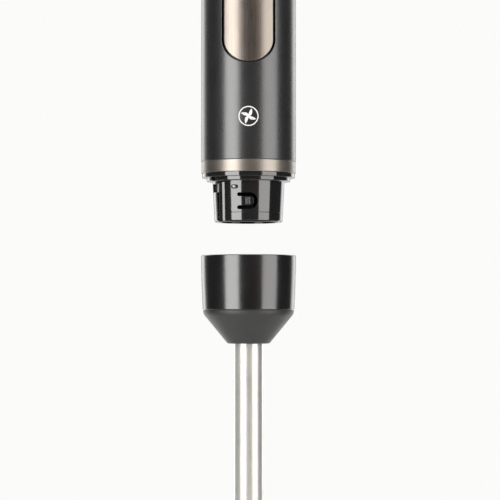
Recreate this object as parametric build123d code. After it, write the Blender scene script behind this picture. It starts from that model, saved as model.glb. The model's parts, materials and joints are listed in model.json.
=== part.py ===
from build123d import *
import os
from math import cos, degrees, radians, sin

# Immersion blender in millimetres, with its blending leg pulled off the motor unit.
# +Z runs up the handle and the trigger faces -Y. The origin is on the main axis, at the lower
# edge of the grip sleeve. Azimuths are degrees about +Z, counted from the front (-Y).

# Clearances
press_gap = 0.05      # between pieces of one assembly that are pushed together
assembly_gap = 0.2    # between pieces that slip past each other when they are assembled
running_gap = 0.06    # radial, round a turning shaft or pin
face_gap = 0.25       # between flat faces that move on each other
free_gap = 0.4        # round whatever must not touch

# Grip sleeve and cap
grip_radius = 29.0
grip_wall = 2.0
grip_height = 196.0
cap_height = 12.0
cap_wall = 2.6
cap_skirt = 8.0
cap_edge_height = 4.0
cap_flat_radius = 17.0
cap_boss_radius = 4.2
cap_screw_x = 15.0
cap_screw_y = 7.0
cap_screw_length = 16.0
screw_radius = 1.4
screw_head_radius = 2.6
screw_head_height = 1.8

# Cord inlet
inlet_radius = 4.0
grommet_wall = 2.5
grommet_lip = 1.4
grommet_lip_width = 1.6
grommet_tail = 5.0

# Trigger
opening_half_width = 16.1
opening_rise = 5.5
opening_height = 92.0
opening_end = 14.4
trigger_gap = 1.0
trigger_sink = 0.1
trigger_skirt = 2.0
skirt_wall = 1.2
skirt_gap = 0.5
pivot_rise = 3.0
pivot_radius = 1.25
pivot_depth = 9.4
pivot_half_length = 12.5
pivot_hub_radius = 3.2
pivot_hub_inner = 5.5
ear_width = 2.0
ear_depth = 4.3
lever_half_width = 3.0
lever_depth = 2.4
lever_reach = 48.0
lever_boss_radius = 2.5
switch_height = 39.0
plunger_travel = 1.8
spring_wire = 0.35
spring_turn_radius = 2.3

# Trim ring and spigot
ring_height = 7.3
ring_step = 0.2
flange_step = 0.6
flange_height = 2.7
stop_step = 3.4
stop_height = 2.2
spigot_step = 7.0
spigot_length = 24.8
spigot_taper = 1.2
spigot_bore_step = 11.2
spigot_chamfer = 0.8
deck_height = 3.0
neck_height = 8.0
neck_wall = 2.0
seam_height = 19.2
seam_depth = 0.3

# Bayonet
lug_azimuth = -54.5
lug_count = 2
lug_width = 4.4
lug_height = 3.6
lug_depth = 2.3
entry_width = 5.6
channel_height = 5.0
channel_drop = 1.8
twist_angle = 20.0
leg_travel = 46.8

# Snap tongue and interlock window in the spigot wall
tongue_azimuth = 0.0
tongue_drop = 12.5
tongue_width = 11.3
tongue_height = 10.1
tongue_slot = 2.3
ridge_azimuth = -1.0
ridge_radius = 0.35
ridge_pitch = 1.0
ridge_count = 3
ridge_height = 4.2
interlock_azimuth = -22.6
interlock_drop = 3.9
window_width = 4.4
window_height = 2.4
window_depth = 0.8
pin_radius = 0.75
pin_length = 10.5
pin_stand = 1.4
pin_travel = 1.2
cam_radius = 10.0

# Chassis and motor
chassis_wall = 2.0
chassis_top_gap = 1.0
chassis_screw_inset = 4.8
damper_wall = 1.7
damper_ledge = 2.0
damper_ledge_width = 5.0
damper_height = 5.0
plate_height = 3.0
plate_front = 18.4
hub_wall = 2.2
hub_height = 6.0
bearing_radius = 8.0
bearing_width = 5.0
race_wall = 1.6
rotor_shaft_radius = 2.5
fan_height = 7.7
fan_radius = 15.4
fan_blade_count = 9
winding_height = 5.5
core_length = 36.0
yoke_wall = 4.5
armature_radius = 11.3
air_gap = 0.5
pole_tip = 1.9
pole_half_width = 5.5
coil_width = 2.9
coil_depth = 2.2
slot_count = 12
slot_width = 2.0
slot_depth = 4.6
commutator_radius = 6.5
commutator_height = 10.0
commutator_bars = 24
bolt_radius = 1.5
pillar_radius = 2.3
brush_width = 4.9
brush_length = 7.4
holder_wall = 1.1
holder_end = 20.0
rotor_gap = 2.0

# Electronics
board_rise = 5.0
board_height = 64.0
board_half_width = 19.5
board_wall = 1.6
board_y = -3.0
switch_half_width = 6.0
switch_depth = 8.5
switch_half_height = 6.0
plunger_radius = 1.2
plunger_stand = 2.1
plunger_length = 8.0
terminal_drop = 28.0
clamp_drop = 13.0
clamp_height = 4.0
web_height = 3.0
cord_radius = 3.5

# Leg
collar_margin = 8.2
collar_draft = 1.0
collar_wall = 1.7
collar_edge = 0.5
socket_step = 0.6
socket_floor = 3.5
floor_gap = 1.5
bush_housing_radius = 8.5
bush_housing_length = 11.5
cone_length = 20.7
cone_end_radius = 12.8
cone_wall = 3.0
tube_radius = 9.0
tube_wall = 0.8
tube_length = 130.0
tube_top_inset = 8.0
bell_radius = 32.0
bell_height = 42.0
bell_wall = 1.2
bell_top_radius = 13.5
bell_window_count = 4
scallop_radius = 9.0
scallop_rise = 5.0
hub_radius = 13.0
hub_overlap = 12.0
hub_boss_radius = 9.5
hub_boss_length = 17.0

# Drive line
drive_radius = 3.0
dog_radius = 6.0
dog_root_radius = 4.6
dog_lobes = 6
dog_length = 12.0
dog_drop = 9.8
dog_gap = 0.35
cup_wall = 1.9
cup_floor = 3.0
washer_height = 0.5
bush_wall = 2.5
clip_height = 0.8
blade_reach = 23.0
blade_width = 9.0
blade_height = 1.2
blade_pitch = 14.0
blade_clearance = 4.0
nut_radius = 5.0
nut_height = 3.5

# Levels and radii that follow from the sizes above
grip_inner = grip_radius - grip_wall
chassis_outer = grip_inner - assembly_gap
chassis_inner = chassis_outer - chassis_wall
ring_low = -ring_height
flange_low = ring_low - flange_height
stop_low = flange_low - stop_height
spigot_low = stop_low - spigot_length
spigot_radius = grip_radius - spigot_step
spigot_bore = grip_radius - spigot_bore_step
deck_top = stop_low + deck_height
socket_bore = spigot_radius + socket_step
lug_tip = socket_bore - lug_depth
groove_floor = lug_tip - free_gap
lug_level = stop_low - channel_drop - channel_height / 2
motor_radius = chassis_inner - damper_wall - 2 * press_gap
lower_plate_low = deck_top + damper_ledge
hub_top = lower_plate_low + hub_height
fan_low = hub_top + rotor_gap
winding_low = fan_low + fan_height + rotor_gap
core_low = winding_low + winding_height
core_high = core_low + core_length
winding_high = core_high + winding_height
commutator_low = winding_high + rotor_gap
commutator_high = commutator_low + commutator_height
upper_plate_low = commutator_high + rotor_gap
upper_hub_top = upper_plate_low + hub_height + 1.0
brush_level = (commutator_low + commutator_high) / 2
bolt_circle = motor_radius - yoke_wall / 2
bolt_azimuths = (45, 135, 225, 315)
opening_low = core_high + opening_rise
opening_high = opening_low + opening_height
pivot_height = opening_low + pivot_rise
pivot_y = -(grip_radius - pivot_depth)
skirt_outer = grip_inner - skirt_gap
skirt_inner = skirt_outer - skirt_wall
lever_back = -(skirt_inner - lever_depth)
switch_level = pivot_height + switch_height
plunger_front = board_y - switch_depth - plunger_stand
chassis_top = grip_height - cap_skirt - chassis_top_gap
terminal_level = chassis_top - terminal_drop
clamp_level = chassis_top - clamp_drop
board_low = upper_hub_top + board_rise
board_high = board_low + board_height
chassis_screw_x = chassis_inner - chassis_screw_inset
boss_levels = (board_low - 4, board_high + 5)
pin_level = stop_low - interlock_drop
pin_tip = spigot_radius + pin_stand
cam_offset = pin_tip + free_gap - cam_radius + 0.1

# The leg is drawn in its locked-on place and moved down by its travel at the end
collar_top = flange_low - face_gap
collar_length = spigot_length + collar_margin
collar_low = collar_top - collar_length
collar_low_radius = grip_radius - collar_draft
collar_bore = collar_low_radius - collar_wall
socket_outer = collar_bore - press_gap
socket_top = stop_low - free_gap
floor_top = spigot_low - floor_gap
floor_low = floor_top - socket_floor
cone_low = collar_low - cone_length
tube_top = collar_low - tube_top_inset
tube_low = tube_top - tube_length
bell_top = tube_low + hub_overlap
bell_low = bell_top - bell_height
dog_top = stop_low - dog_drop
dog_low = dog_top - dog_length
cup_base = dog_low - free_gap
cup_low = cup_base - cup_floor
cup_radius = dog_radius + dog_gap + cup_wall
washer_low = floor_top + face_gap
bush_low = floor_top - bush_housing_length + 1.0
boss_low = bell_top - hub_boss_length
blade_top = boss_low - blade_clearance


def rod(radius, low, high):
    """Solid cylinder on the main axis between two heights."""
    return Pos(0, 0, low) * Cylinder(radius, high - low, align=(Align.CENTER, Align.CENTER, Align.MIN))


def ring(outer, inner, low, high):
    """Tube on the main axis."""
    return rod(outer, low, high) - rod(inner, low - 1, high + 1)


def block(x_range, y_range, z_range):
    """Box between two corners."""
    size = [high - low for low, high in (x_range, y_range, z_range)]
    middle = [(high + low) / 2 for low, high in (x_range, y_range, z_range)]
    return Pos(*middle) * Box(*size)


def turned(*points):
    """Solid of revolution of a closed outline of radius and height pairs."""
    return revolve(Plane.XZ * make_face(Polyline(*points, close=True)), Axis.Z)


def bar_x(radius, low, high, y, z):
    """Cylinder along X."""
    return Pos((low + high) / 2, y, z) * Rot(0, 90, 0) * Cylinder(radius, high - low)


def bar_y(radius, low, high, x, z):
    """Cylinder along Y."""
    return Pos(x, (low + high) / 2, z) * Rot(90, 0, 0) * Cylinder(radius, high - low)


def faced(azimuth, piece):
    """Turn a piece that was drawn at the front to an azimuth."""
    return Rot(0, 0, azimuth) * piece


def sector(outer, inner, low, high, start, arc):
    """Part of a tube from a start azimuth over an arc."""
    outline = Plane.XZ * Pos((outer + inner) / 2, (low + high) / 2) * Rectangle(outer - inner, high - low)
    return Rot(0, 0, start - 90) * revolve(outline, Axis.Z, revolution_arc=arc)


def screw(length):
    """Pan-head screw with its head's underside at the origin, pointing down."""
    body = rod(screw_radius, -length, 0) + rod(screw_head_radius, 0, screw_head_height)
    slot = block((-screw_head_radius, screw_head_radius), (-0.3, 0.3), (screw_head_height / 2, 5))
    return body - slot - Rot(0, 0, 90) * slot


def coil_spring(turn_radius, wire, length, turns):
    """Round-wire spring along +Z from the origin."""
    path = Helix(pitch=length / turns, height=length, radius=turn_radius)
    return sweep(Plane(path @ 0, z_dir=path % 0) * Circle(wire), path=path)


def trigger_outline(grow):
    """Front outline of the trigger opening, grown on all sides."""
    half_width = opening_half_width + grow
    end = opening_end + grow
    low = opening_low + opening_end
    high = opening_high - opening_end
    middle = Pos(0, (low + high) / 2) * Rectangle(2 * half_width, high - low)
    ends = [Pos(0, z) * Ellipse(half_width, end) for z in (low, high)]
    return middle + ends[0] + ends[1]


def trigger_prism(grow):
    """The trigger outline carried forward from the middle plane."""
    return extrude(Plane.XZ * trigger_outline(grow), amount=2 * grip_radius)


# Grip

def make_grip_sleeve():
    edge = 0.4
    shell = turned((grip_inner, 0), (grip_radius - edge, 0), (grip_radius, edge),
                   (grip_radius, grip_height), (grip_inner, grip_height))
    return shell - trigger_prism(0)


def cap_outline(inset):
    """Half section of the cap's dome, drawn in by an inset."""
    radius = grip_radius - inset
    top = grip_height + cap_height - inset
    shoulder = grip_height + cap_edge_height
    floor = grip_height
    wall = Polyline((0, floor), (radius, floor), (radius, shoulder))
    dome = EllipticalCenterArc((cap_flat_radius, shoulder), radius - cap_flat_radius,
                               top - shoulder, start_angle=0, arc_size=90)
    lid = Polyline((cap_flat_radius, top), (0, top), (0, floor))
    return make_face([wall, dome, lid])


def make_top_cap():
    dome = revolve(Plane.XZ * cap_outline(0), Axis.Z)
    hollow = revolve(Plane.XZ * cap_outline(cap_wall), Axis.Z)
    skirt = ring(chassis_outer, chassis_inner, grip_height - cap_skirt, grip_height + cap_wall)
    cap = dome - hollow + skirt
    seat_radius = inlet_radius + grommet_wall
    top = grip_height + cap_height
    cap += ring(seat_radius + cap_wall, seat_radius, grip_height + cap_wall, top - cap_wall / 2)
    cap -= rod(seat_radius + press_gap, grip_height - 1, top + 1)
    for side in (-1, 1):
        place = Pos(side * cap_screw_x, cap_screw_y, 0)
        boss = place * rod(cap_boss_radius, grip_height + 0.5, top - cap_wall / 2)
        bore = place * rod(screw_radius + press_gap, grip_height, top + 1)
        counterbore = place * rod(screw_head_radius + assembly_gap, top - cap_wall - 2.2, top + 1)
        cap = cap + boss - bore - counterbore
    return cap


def make_cap_screws():
    seat = grip_height + cap_height - cap_wall - 2.2
    places = [Pos(side * cap_screw_x, cap_screw_y, seat) for side in (-1, 1)]
    return places[0] * screw(cap_screw_length) + places[1] * screw(cap_screw_length)


def make_cord_grommet():
    outer = inlet_radius + grommet_wall
    top = grip_height + cap_height
    low = grip_height + cap_wall
    lip = outer + grommet_lip_width
    tail = low - grommet_tail
    crest = top + grommet_lip
    return turned((inlet_radius, tail), (outer - 0.8, tail), (outer, tail + 1), (outer, top), (lip, top),
                  (lip - 0.4, crest), (inlet_radius + 0.4, crest), (inlet_radius, crest - 0.4))


def make_cord_clamp():
    bar = block((-11, 11), (-6, -press_gap), (clamp_level, clamp_level + clamp_height))
    bar -= rod(cord_radius, clamp_level - 1, clamp_level + clamp_height + 1)
    for side in (-1, 1):
        bar -= bar_y(screw_radius + press_gap, -7, 1, side * 8, clamp_level + clamp_height / 2)
    return bar


def make_clamp_screws():
    screws = Part()
    for side in (-1, 1):
        screws += Pos(side * 8, -6, clamp_level + clamp_height / 2) * Rot(90, 0, 0) * screw(10)
    return screws


def make_terminal_block():
    low = terminal_level + web_height
    body = block((-8, 8), (5, 15), (low, low + 9))
    for x in (-5, 0, 5):
        body -= Pos(x, 10, low + 4) * rod(1.4, 0, 6)
        body -= bar_y(1.2, 4, 16, x, low + 2.5)
    return body


# Trim ring and spigot

def make_trim_ring():
    outer = grip_radius - ring_step
    inner = chassis_outer + press_gap
    edge = 0.3
    return turned((inner, ring_low), (outer - edge, ring_low), (outer, ring_low + edge),
                  (outer, -edge), (outer - edge, 0), (inner, 0))


def spigot_body():
    """Neck, flanges, deck and tapered wall in one turned piece."""
    low_radius = spigot_radius - spigot_taper
    flange = grip_radius - flange_step
    stop = grip_radius - stop_step
    return Rot(0, 0, 90) * turned(
        (rotor_shaft_radius + 5.5, stop_low), (spigot_bore, stop_low), (spigot_bore, spigot_low),
        (low_radius - spigot_chamfer, spigot_low), (low_radius, spigot_low + spigot_chamfer),
        (spigot_radius, stop_low), (stop - 0.3, stop_low), (stop, stop_low + 0.3), (stop, flange_low),
        (flange - 0.3, flange_low), (flange, flange_low + 0.3), (flange, ring_low),
        (chassis_outer, ring_low), (chassis_outer, neck_height),
        (chassis_outer - neck_wall, neck_height), (chassis_outer - neck_wall, deck_top),
        (rotor_shaft_radius + 5.5, deck_top))


def bayonet_cut():
    """One entry groove, the channel that the lug turns into, and the notch in the stop flange."""
    reach = grip_radius
    across = (-entry_width / 2, entry_width / 2)
    low = lug_level - channel_height / 2
    high = lug_level + channel_height / 2
    entry = block(across, (-reach, 0), (spigot_low - 1, high)) - rod(groove_floor, spigot_low - 2, stop_low)
    notch = block(across, (-reach, -socket_bore), (stop_low - 1, flange_low))
    half_lug = degrees((lug_width / 2 + free_gap) / lug_tip)
    channel = sector(reach, groove_floor, low, high, -twist_angle - half_lug, twist_angle + half_lug)
    return entry + notch + channel


def snap_outline(reach):
    """Front outline of the snap tongue, straight to the left and round to the right."""
    left = -tongue_width / 2
    centre = (tongue_width - tongue_height) / 2
    return Pos((left + centre) / 2, 0) * Rectangle(centre - left, 2 * reach) + Pos(centre, 0) * Circle(reach)


def snap_slot():
    """U-shaped slot that frees a tongue with its root to the left."""
    reach = tongue_height / 2
    slot = snap_outline(reach) - snap_outline(reach - tongue_slot)
    slot = extrude(Plane.XZ * slot, amount=spigot_radius - spigot_bore, both=True)
    return Pos(0, -spigot_radius, stop_low - tongue_drop) * slot


def make_spigot_housing():
    body = spigot_body()
    for number in range(lug_count):
        body -= faced(lug_azimuth + 360 / lug_count * number, bayonet_cut())
    body -= faced(tongue_azimuth, snap_slot())
    window = Pos(0, -spigot_radius, pin_level) * Box(window_width, 2 * window_depth, window_height)
    body -= faced(interlock_azimuth, window)
    pin_hole = bar_y(pin_radius + running_gap, -grip_radius, -spigot_bore + 3, 0, pin_level)
    body -= faced(interlock_azimuth, pin_hole)
    seam = stop_low - seam_height
    seam_radius = spigot_radius - spigot_taper * seam_height / spigot_length
    body -= ring(grip_radius, seam_radius - seam_depth, seam - 0.15, seam + 0.15)
    ridge_y = spigot_radius - spigot_taper * tongue_drop / spigot_length
    for number in range(ridge_count):
        x = (number - (ridge_count - 1) / 2) * ridge_pitch
        low = stop_low - tongue_drop - ridge_height / 2
        ridge = Pos(x, -ridge_y, 0) * rod(ridge_radius, low, low + ridge_height)
        body += faced(ridge_azimuth, ridge)
    return body


def make_spigot_seal():
    outer = rotor_shaft_radius + 5.5
    inner = rotor_shaft_radius + running_gap
    return turned((inner, stop_low + 0.6), (inner + 1.2, stop_low), (outer - press_gap, stop_low),
                  (outer - press_gap, deck_top - 0.2), (outer - 2, deck_top - 0.2),
                  (inner + 1.2, stop_low + 1.2), (inner, stop_low + 1.2))


def make_interlock_switch():
    front = pin_length - pin_tip + pin_travel + 0.1
    body = block((-3, 3), (front, front + 4.5), (pin_level - 2.4, stop_low))
    return faced(interlock_azimuth, body)


def make_interlock_pin():
    shaft = bar_y(pin_radius, -pin_tip, pin_length - pin_tip, 0, pin_level)
    stop = assembly_gap - spigot_bore
    collar = bar_y(pin_radius + 0.9, stop, stop + 0.7, 0, pin_level)
    return faced(interlock_azimuth, shaft + collar)


# Chassis

def half_space(front):
    """Large block that keeps the front or the rear half."""
    reach = 3 * grip_radius
    y_range = (-reach, 0) if front else (0, reach)
    return block((-reach, reach), y_range, (-reach, 3 * grip_height))


def chassis_bosses(front):
    """Side blocks that the chassis screws pass through."""
    y_range = (-8, 0) if front else (0, 8)
    blocks = Part()
    for z in boss_levels:
        for side in (-1, 1):
            x_range = sorted((side * (chassis_screw_x - 3), side * (chassis_inner + 0.5)))
            blocks += block(x_range, y_range, (z - 3, z + 3))
    return blocks & rod(chassis_outer, 0, 3 * grip_height)


def chassis_screw_holes():
    """Holes along Y for the four chassis screws."""
    holes = Part()
    for z in boss_levels:
        for side in (-1, 1):
            holes += bar_y(screw_radius, -9, 6.5, side * chassis_screw_x, z)
    return holes


def make_chassis_front():
    shell = ring(chassis_outer, chassis_inner, neck_height, chassis_top) & half_space(True)
    shell -= trigger_prism(trigger_skirt + 0.8)
    shelf_top = opening_low - trigger_skirt - 1.0
    front = -(chassis_outer - 0.5)
    back = pivot_y + ear_depth / 2
    half = pivot_half_length + 0.5
    shelf = block((-half, half), (front, back), (core_high + 0.6, shelf_top))
    shelf &= rod(chassis_outer, 0, grip_height)
    shell += shelf
    for side in (-1, 1):
        x_range = sorted((side * (pivot_half_length - ear_width), side * pivot_half_length))
        shell += block(x_range, (pivot_y - ear_depth / 2, back), (shelf_top - 0.5, pivot_height + 2.6))
    shell -= bar_x(pivot_radius, -grip_radius, grip_radius, pivot_y, pivot_height)
    return shell + chassis_bosses(True) - chassis_screw_holes()


def make_chassis_rear():
    shell = ring(chassis_outer, chassis_inner, neck_height, chassis_top) & half_space(False)
    for level, height in ((terminal_level, web_height), (clamp_level, clamp_height)):
        web = rod(chassis_inner + 0.5, level, level + height) & half_space(False)
        web -= rod(cord_radius + 0.1, level - 1, level + height + 1)
        web -= block((-9, 9), (16, 20), (level - 1, level + height + 1))
        shell += web
    for side in (-1, 1):
        shell -= bar_y(screw_radius, -1, 5, side * 8, clamp_level + clamp_height / 2)
        x_range = sorted((side * (board_half_width - 2), side * (chassis_inner + 0.5)))
        for low in (board_low + 2, board_high - 8):
            ledge = block(x_range, (board_y + board_wall, 3), (low, low + 6))
            shell += ledge & (rod(chassis_inner - press_gap, 0, grip_height) + half_space(False))
        place = Pos(side * cap_screw_x, cap_screw_y, 0)
        shell += place * rod(3.2, clamp_level + clamp_height - 1, grip_height + 0.3)
        shell -= place * rod(screw_radius, grip_height - 10, grip_height + 2)
    return shell + chassis_bosses(False) - chassis_screw_holes()


def make_chassis_screws():
    screws = Part()
    for z in boss_levels:
        for side in (-1, 1):
            screws += Pos(side * chassis_screw_x, -8, z) * Rot(90, 0, 0) * screw(13.5)
    return screws


# Motor, fixed pieces

def bolt_places():
    """Places of the four motor bolts round the axis."""
    return [Rot(0, 0, azimuth) * Pos(0, -bolt_circle, 0) for azimuth in bolt_azimuths]


def make_lower_damper():
    outer = chassis_outer - neck_wall - press_gap
    inner = motor_radius - 1.4 + press_gap
    ledge = inner - damper_ledge_width
    top = deck_top + damper_height
    return turned((ledge, deck_top), (outer, deck_top), (outer, top), (inner, top),
                  (inner, lower_plate_low), (ledge, lower_plate_low))


def make_lower_bracket():
    plate_top = lower_plate_low + plate_height
    plate = rod(motor_radius - 1.4, lower_plate_low, plate_top)
    hub = rod(bearing_radius + hub_wall, lower_plate_low, hub_top)
    bracket = plate + hub
    for place in bolt_places():
        bracket += place * rod(pillar_radius, plate_top, core_low)
    bracket &= rod(motor_radius, lower_plate_low, core_low)
    bracket -= rod(bearing_radius, lower_plate_low + 1, hub_top + 1)
    bracket -= rod(rotor_shaft_radius + 2.5, lower_plate_low - 1, hub_top)
    for place in bolt_places():
        bracket -= place * rod(bolt_radius, plate_top, core_low + 1)
    for azimuth in (0, 90, 180, 270):
        vent = Pos(0, -15.5, 0) * rod(3.2, lower_plate_low - 1, plate_top + 1)
        bracket -= faced(azimuth, vent)
    return bracket


def make_upper_bracket():
    plate_top = upper_plate_low + plate_height
    bracket = rod(motor_radius, upper_plate_low, plate_top)
    bracket -= block((-grip_radius, grip_radius), (-2 * grip_radius, -plate_front), (0, grip_height))
    for azimuth in (0, 90, 180, 270):
        bracket -= faced(azimuth + 22, Pos(0, -15, 0) * rod(2.4, upper_plate_low - 1, plate_top + 1))
    bracket += rod(bearing_radius + hub_wall, upper_plate_low, upper_hub_top)
    for place in bolt_places():
        bracket += place * rod(pillar_radius, core_high, upper_plate_low + 1)
    bracket &= rod(motor_radius, core_high, upper_plate_low + 20)
    bracket -= rod(bearing_radius, upper_plate_low - 1, upper_plate_low + hub_height)
    for place in bolt_places():
        bracket -= place * rod(bolt_radius, core_high - 1, plate_top + 1)
    return bracket


def make_upper_damper():
    outer = chassis_inner - press_gap
    inner = motor_radius + press_gap
    low = upper_plate_low - 1
    damper = turned((inner - 2, low), (outer, low), (outer, low + damper_height),
                    (inner - 2, low + damper_height), (inner - 2, low + damper_height - 0.9),
                    (inner, low + damper_height - 0.9), (inner, low + 0.9), (inner - 2, low + 0.9))
    damper -= block((-grip_radius, grip_radius), (-2 * grip_radius, -plate_front), (0, grip_height))
    for place in bolt_places():
        damper -= place * rod(pillar_radius + free_gap, low - 1, low + 1)
        damper -= place * rod(screw_head_radius + 0.3, upper_plate_low + 1, low + damper_height + 1)
    return damper


def make_bearing(low):
    high = low + bearing_width
    outer = bearing_radius - race_wall
    inner = rotor_shaft_radius + 1.2
    outer_race = ring(bearing_radius - press_gap, outer, low, high)
    inner_race = ring(inner, rotor_shaft_radius + running_gap, low, high)
    return outer_race + ring(outer, inner, low + 0.4, high - 0.4) + inner_race


def make_motor_bearings():
    return make_bearing(lower_plate_low + 1) + make_bearing(upper_plate_low + 0.8)


def make_stator_core():
    core = ring(motor_radius, motor_radius - yoke_wall, core_low, core_high)
    bore = armature_radius + air_gap
    reach = motor_radius - 1
    neck = block((-reach, reach), (-pole_half_width, pole_half_width), (core_low, core_high))
    tips = ring(bore + pole_tip, bore, core_low, core_high)
    tips &= block((-motor_radius, motor_radius), (-9.5, 9.5), (core_low, core_high))
    core = core + neck + tips - rod(bore, core_low - 1, core_high + 1)
    for place in bolt_places():
        core -= place * rod(bolt_radius + press_gap, core_low - 1, core_high + 1)
    return core


def make_field_coils():
    coils = Part()
    inner = armature_radius + air_gap + pole_tip + 0.15
    for side in (-1, 1):
        x_range = sorted((side * inner, side * (inner + coil_depth)))
        half = pole_half_width + 0.3
        full = half + coil_width
        low = core_low - 0.3
        high = core_high + 0.3
        outer = block(x_range, (-full, full), (low - coil_width, high + coil_width))
        outer = fillet(outer.edges().filter_by(Axis.X), 2.5)
        coils += outer - block(x_range, (-half, half), (low, high))
    return coils


def make_motor_bolts():
    bolts = Part()
    seat = upper_plate_low + plate_height
    low = lower_plate_low + plate_height + 0.5
    bolt = rod(bolt_radius - press_gap, low, seat) + rod(screw_head_radius - 0.3, seat, seat + 1.6)
    for place in bolt_places():
        bolts += place * bolt
    return bolts


def make_brush_holders():
    holders = Part()
    outer = brush_width / 2 + assembly_gap + holder_wall
    inner = brush_width / 2 + assembly_gap
    low_x = commutator_radius + 0.8
    channel_end = holder_wall - holder_end
    box = block((-outer, outer), (-holder_end, -low_x), (brush_level - outer, brush_level + outer))
    box += block((-outer, outer), (2 - holder_end, -low_x - 5), (brush_level, upper_plate_low - press_gap))
    box -= block((-inner, inner), (channel_end, 0), (brush_level - inner, brush_level + inner))
    for azimuth in (90, 270):
        holders += faced(azimuth, box)
    return holders


def make_carbon_brushes():
    brushes = Part()
    half = brush_width / 2
    near = commutator_radius + 0.15
    z_range = (brush_level - half, brush_level + half)
    brush = block((-half, half), (-near - brush_length, -near + 1.2), z_range)
    brush -= rod(near, brush_level - 5, brush_level + 5)
    for azimuth in (90, 270):
        brushes += faced(azimuth, brush)
    return brushes


def make_brush_springs():
    springs = Part()
    start = -(commutator_radius + 0.15 + brush_length)
    length = holder_end - holder_wall + start - 0.6
    for azimuth in (90, 270):
        coil = Pos(0, start - 0.3, brush_level) * Rot(90, 0, 0) * coil_spring(1.6, 0.25, length, 5)
        springs += faced(azimuth, coil)
    return springs


# Rotor

def make_rotor_shaft():
    top = upper_plate_low + hub_height - 0.5
    return rod(rotor_shaft_radius, dog_low + 2, top)


def armature_slot(extra):
    """One winding slot in the armature, from its bottom outwards."""
    half = slot_width / 2 - extra
    bottom = slot_depth - extra - armature_radius
    return block((-half, half), (-armature_radius - 1, bottom), (core_low - 1, core_high + 1))


def make_armature_core():
    core = ring(armature_radius, rotor_shaft_radius, core_low, core_high)
    for number in range(slot_count):
        core -= faced(360 / slot_count * (number + 0.5), armature_slot(0))
    return core


def make_armature_winding():
    inner = rotor_shaft_radius + 1.2
    outer = armature_radius - 0.8
    winding = Part()
    for low, high in ((winding_low, core_low - 0.1), (core_high + 0.1, winding_high)):
        end = fillet(ring(outer, inner, low, high).edges().filter_by(GeomType.CIRCLE), 1.2)
        winding += end
    bars = Part()
    for number in range(slot_count):
        bars += faced(360 / slot_count * (number + 0.5), armature_slot(0.15))
    bars &= ring(armature_radius - 0.9, 1, core_low - 1, core_high + 1)
    return winding + bars


def make_commutator():
    body = ring(commutator_radius, rotor_shaft_radius, commutator_low, commutator_high)
    depth = 0.7 - commutator_radius
    cut = block((-0.2, 0.2), (-commutator_radius - 1, depth), (commutator_low - 1, commutator_high + 1))
    for number in range(commutator_bars):
        body -= faced(360 / commutator_bars * number, cut)
    return body


def make_cooling_fan():
    top = fan_low + fan_height
    fan = rod(fan_radius, fan_low, fan_low + 1.4) + rod(rotor_shaft_radius + 2.5, fan_low, top)
    blade = block((-0.6, 0.6), (-fan_radius, -rotor_shaft_radius - 2), (fan_low + 1, top))
    for number in range(fan_blade_count):
        fan += faced(360 / fan_blade_count * number, blade)
    return fan & ring(fan_radius, rotor_shaft_radius, fan_low, top)


def dog_outline(grow):
    """Lobed outline that the two halves of the coupling share."""
    outline = Circle(dog_root_radius + grow)
    lobe = 1.1
    for number in range(dog_lobes):
        angle = radians(360 / dog_lobes * number)
        reach = dog_radius - lobe
        outline += Pos(reach * cos(angle), reach * sin(angle)) * Circle(lobe + grow)
    return outline


def make_output_coupling():
    dog = extrude(Pos(0, 0, dog_low) * dog_outline(0), amount=dog_length)
    collar = rod(dog_radius - 0.6, dog_top, dog_top + 3)
    return dog + collar - rod(rotor_shaft_radius, dog_low + 2, dog_top + 4)


# Electronics

def make_control_board():
    across = (-board_half_width, board_half_width)
    board = block(across, (board_y, board_y + board_wall), (board_low, board_high))
    for side in (-1, 1):
        for z in (board_low + 5, board_high - 5):
            board -= bar_y(1.3, board_y - 1, board_y + board_wall + 1, side * (board_half_width - 3), z)
    return board


def make_triac_heat_sink():
    back = board_y + board_wall
    sink = block((-13, 13), (back, back + 2), (board_low + 12, board_low + 30))
    for x in (-12, -6, 0, 6, 11):
        sink += block((x, x + 1.2), (back, back + 11), (board_low + 12, board_low + 30))
    return sink


def make_suppression_capacitor():
    back = board_y + board_wall
    body = block((-9, 9), (back, back + 9), (board_low + 34, board_low + 46))
    return fillet(body.edges().filter_by(Axis.Z), 1.0)


def make_choke_coil():
    back = board_y + board_wall
    core = Pos(0, back + 5.2, board_high - 9) * Rot(90, 0, 0) * Torus(5.5, 2.4)
    return core + block((-4, 4), (back, back + 4), (board_high - 16.9, board_high - 14))


def make_trigger_switch():
    body = block((-switch_half_width, switch_half_width), (board_y - switch_depth, board_y),
                 (switch_level - switch_half_height, switch_level + switch_half_height))
    bore_end = plunger_front + plunger_length + plunger_travel
    return body - bar_y(plunger_radius + running_gap, board_y - switch_depth - 1, bore_end, 0, switch_level)


# Trigger

def make_trigger_cover():
    shell = ring(grip_radius - trigger_sink, skirt_outer + press_gap, opening_low, opening_high)
    return shell & trigger_prism(-trigger_gap)


def make_trigger_lever():
    skirt = ring(skirt_outer, skirt_inner, opening_low - 5, opening_high + 5) & trigger_prism(trigger_skirt)
    front = -(skirt_inner + 0.3)
    inside = rod(skirt_inner + 0.4, 0, grip_height)
    z_range = (pivot_height - 3, pivot_height + lever_reach)
    lever = block((-lever_half_width, lever_half_width), (front, lever_back), z_range)
    for side in (-1, 1):
        x_range = sorted((side * pivot_hub_inner, side * (pivot_half_length - ear_width - 0.3)))
        lever += block(x_range, (front, pivot_y), (pivot_height - 2.4, pivot_height + 2.4))
        lever += bar_x(pivot_hub_radius, x_range[0], x_range[1], pivot_y, pivot_height)
    lever += block((-11, 11), (front, lever_back), (pivot_height + 3.4, pivot_height + 6))
    lever += bar_y(lever_boss_radius, front, plunger_front - 0.35, 0, switch_level)
    lever &= inside
    lever -= bar_x(pivot_radius + running_gap, -grip_radius, grip_radius, pivot_y, pivot_height)
    return skirt + lever


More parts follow.
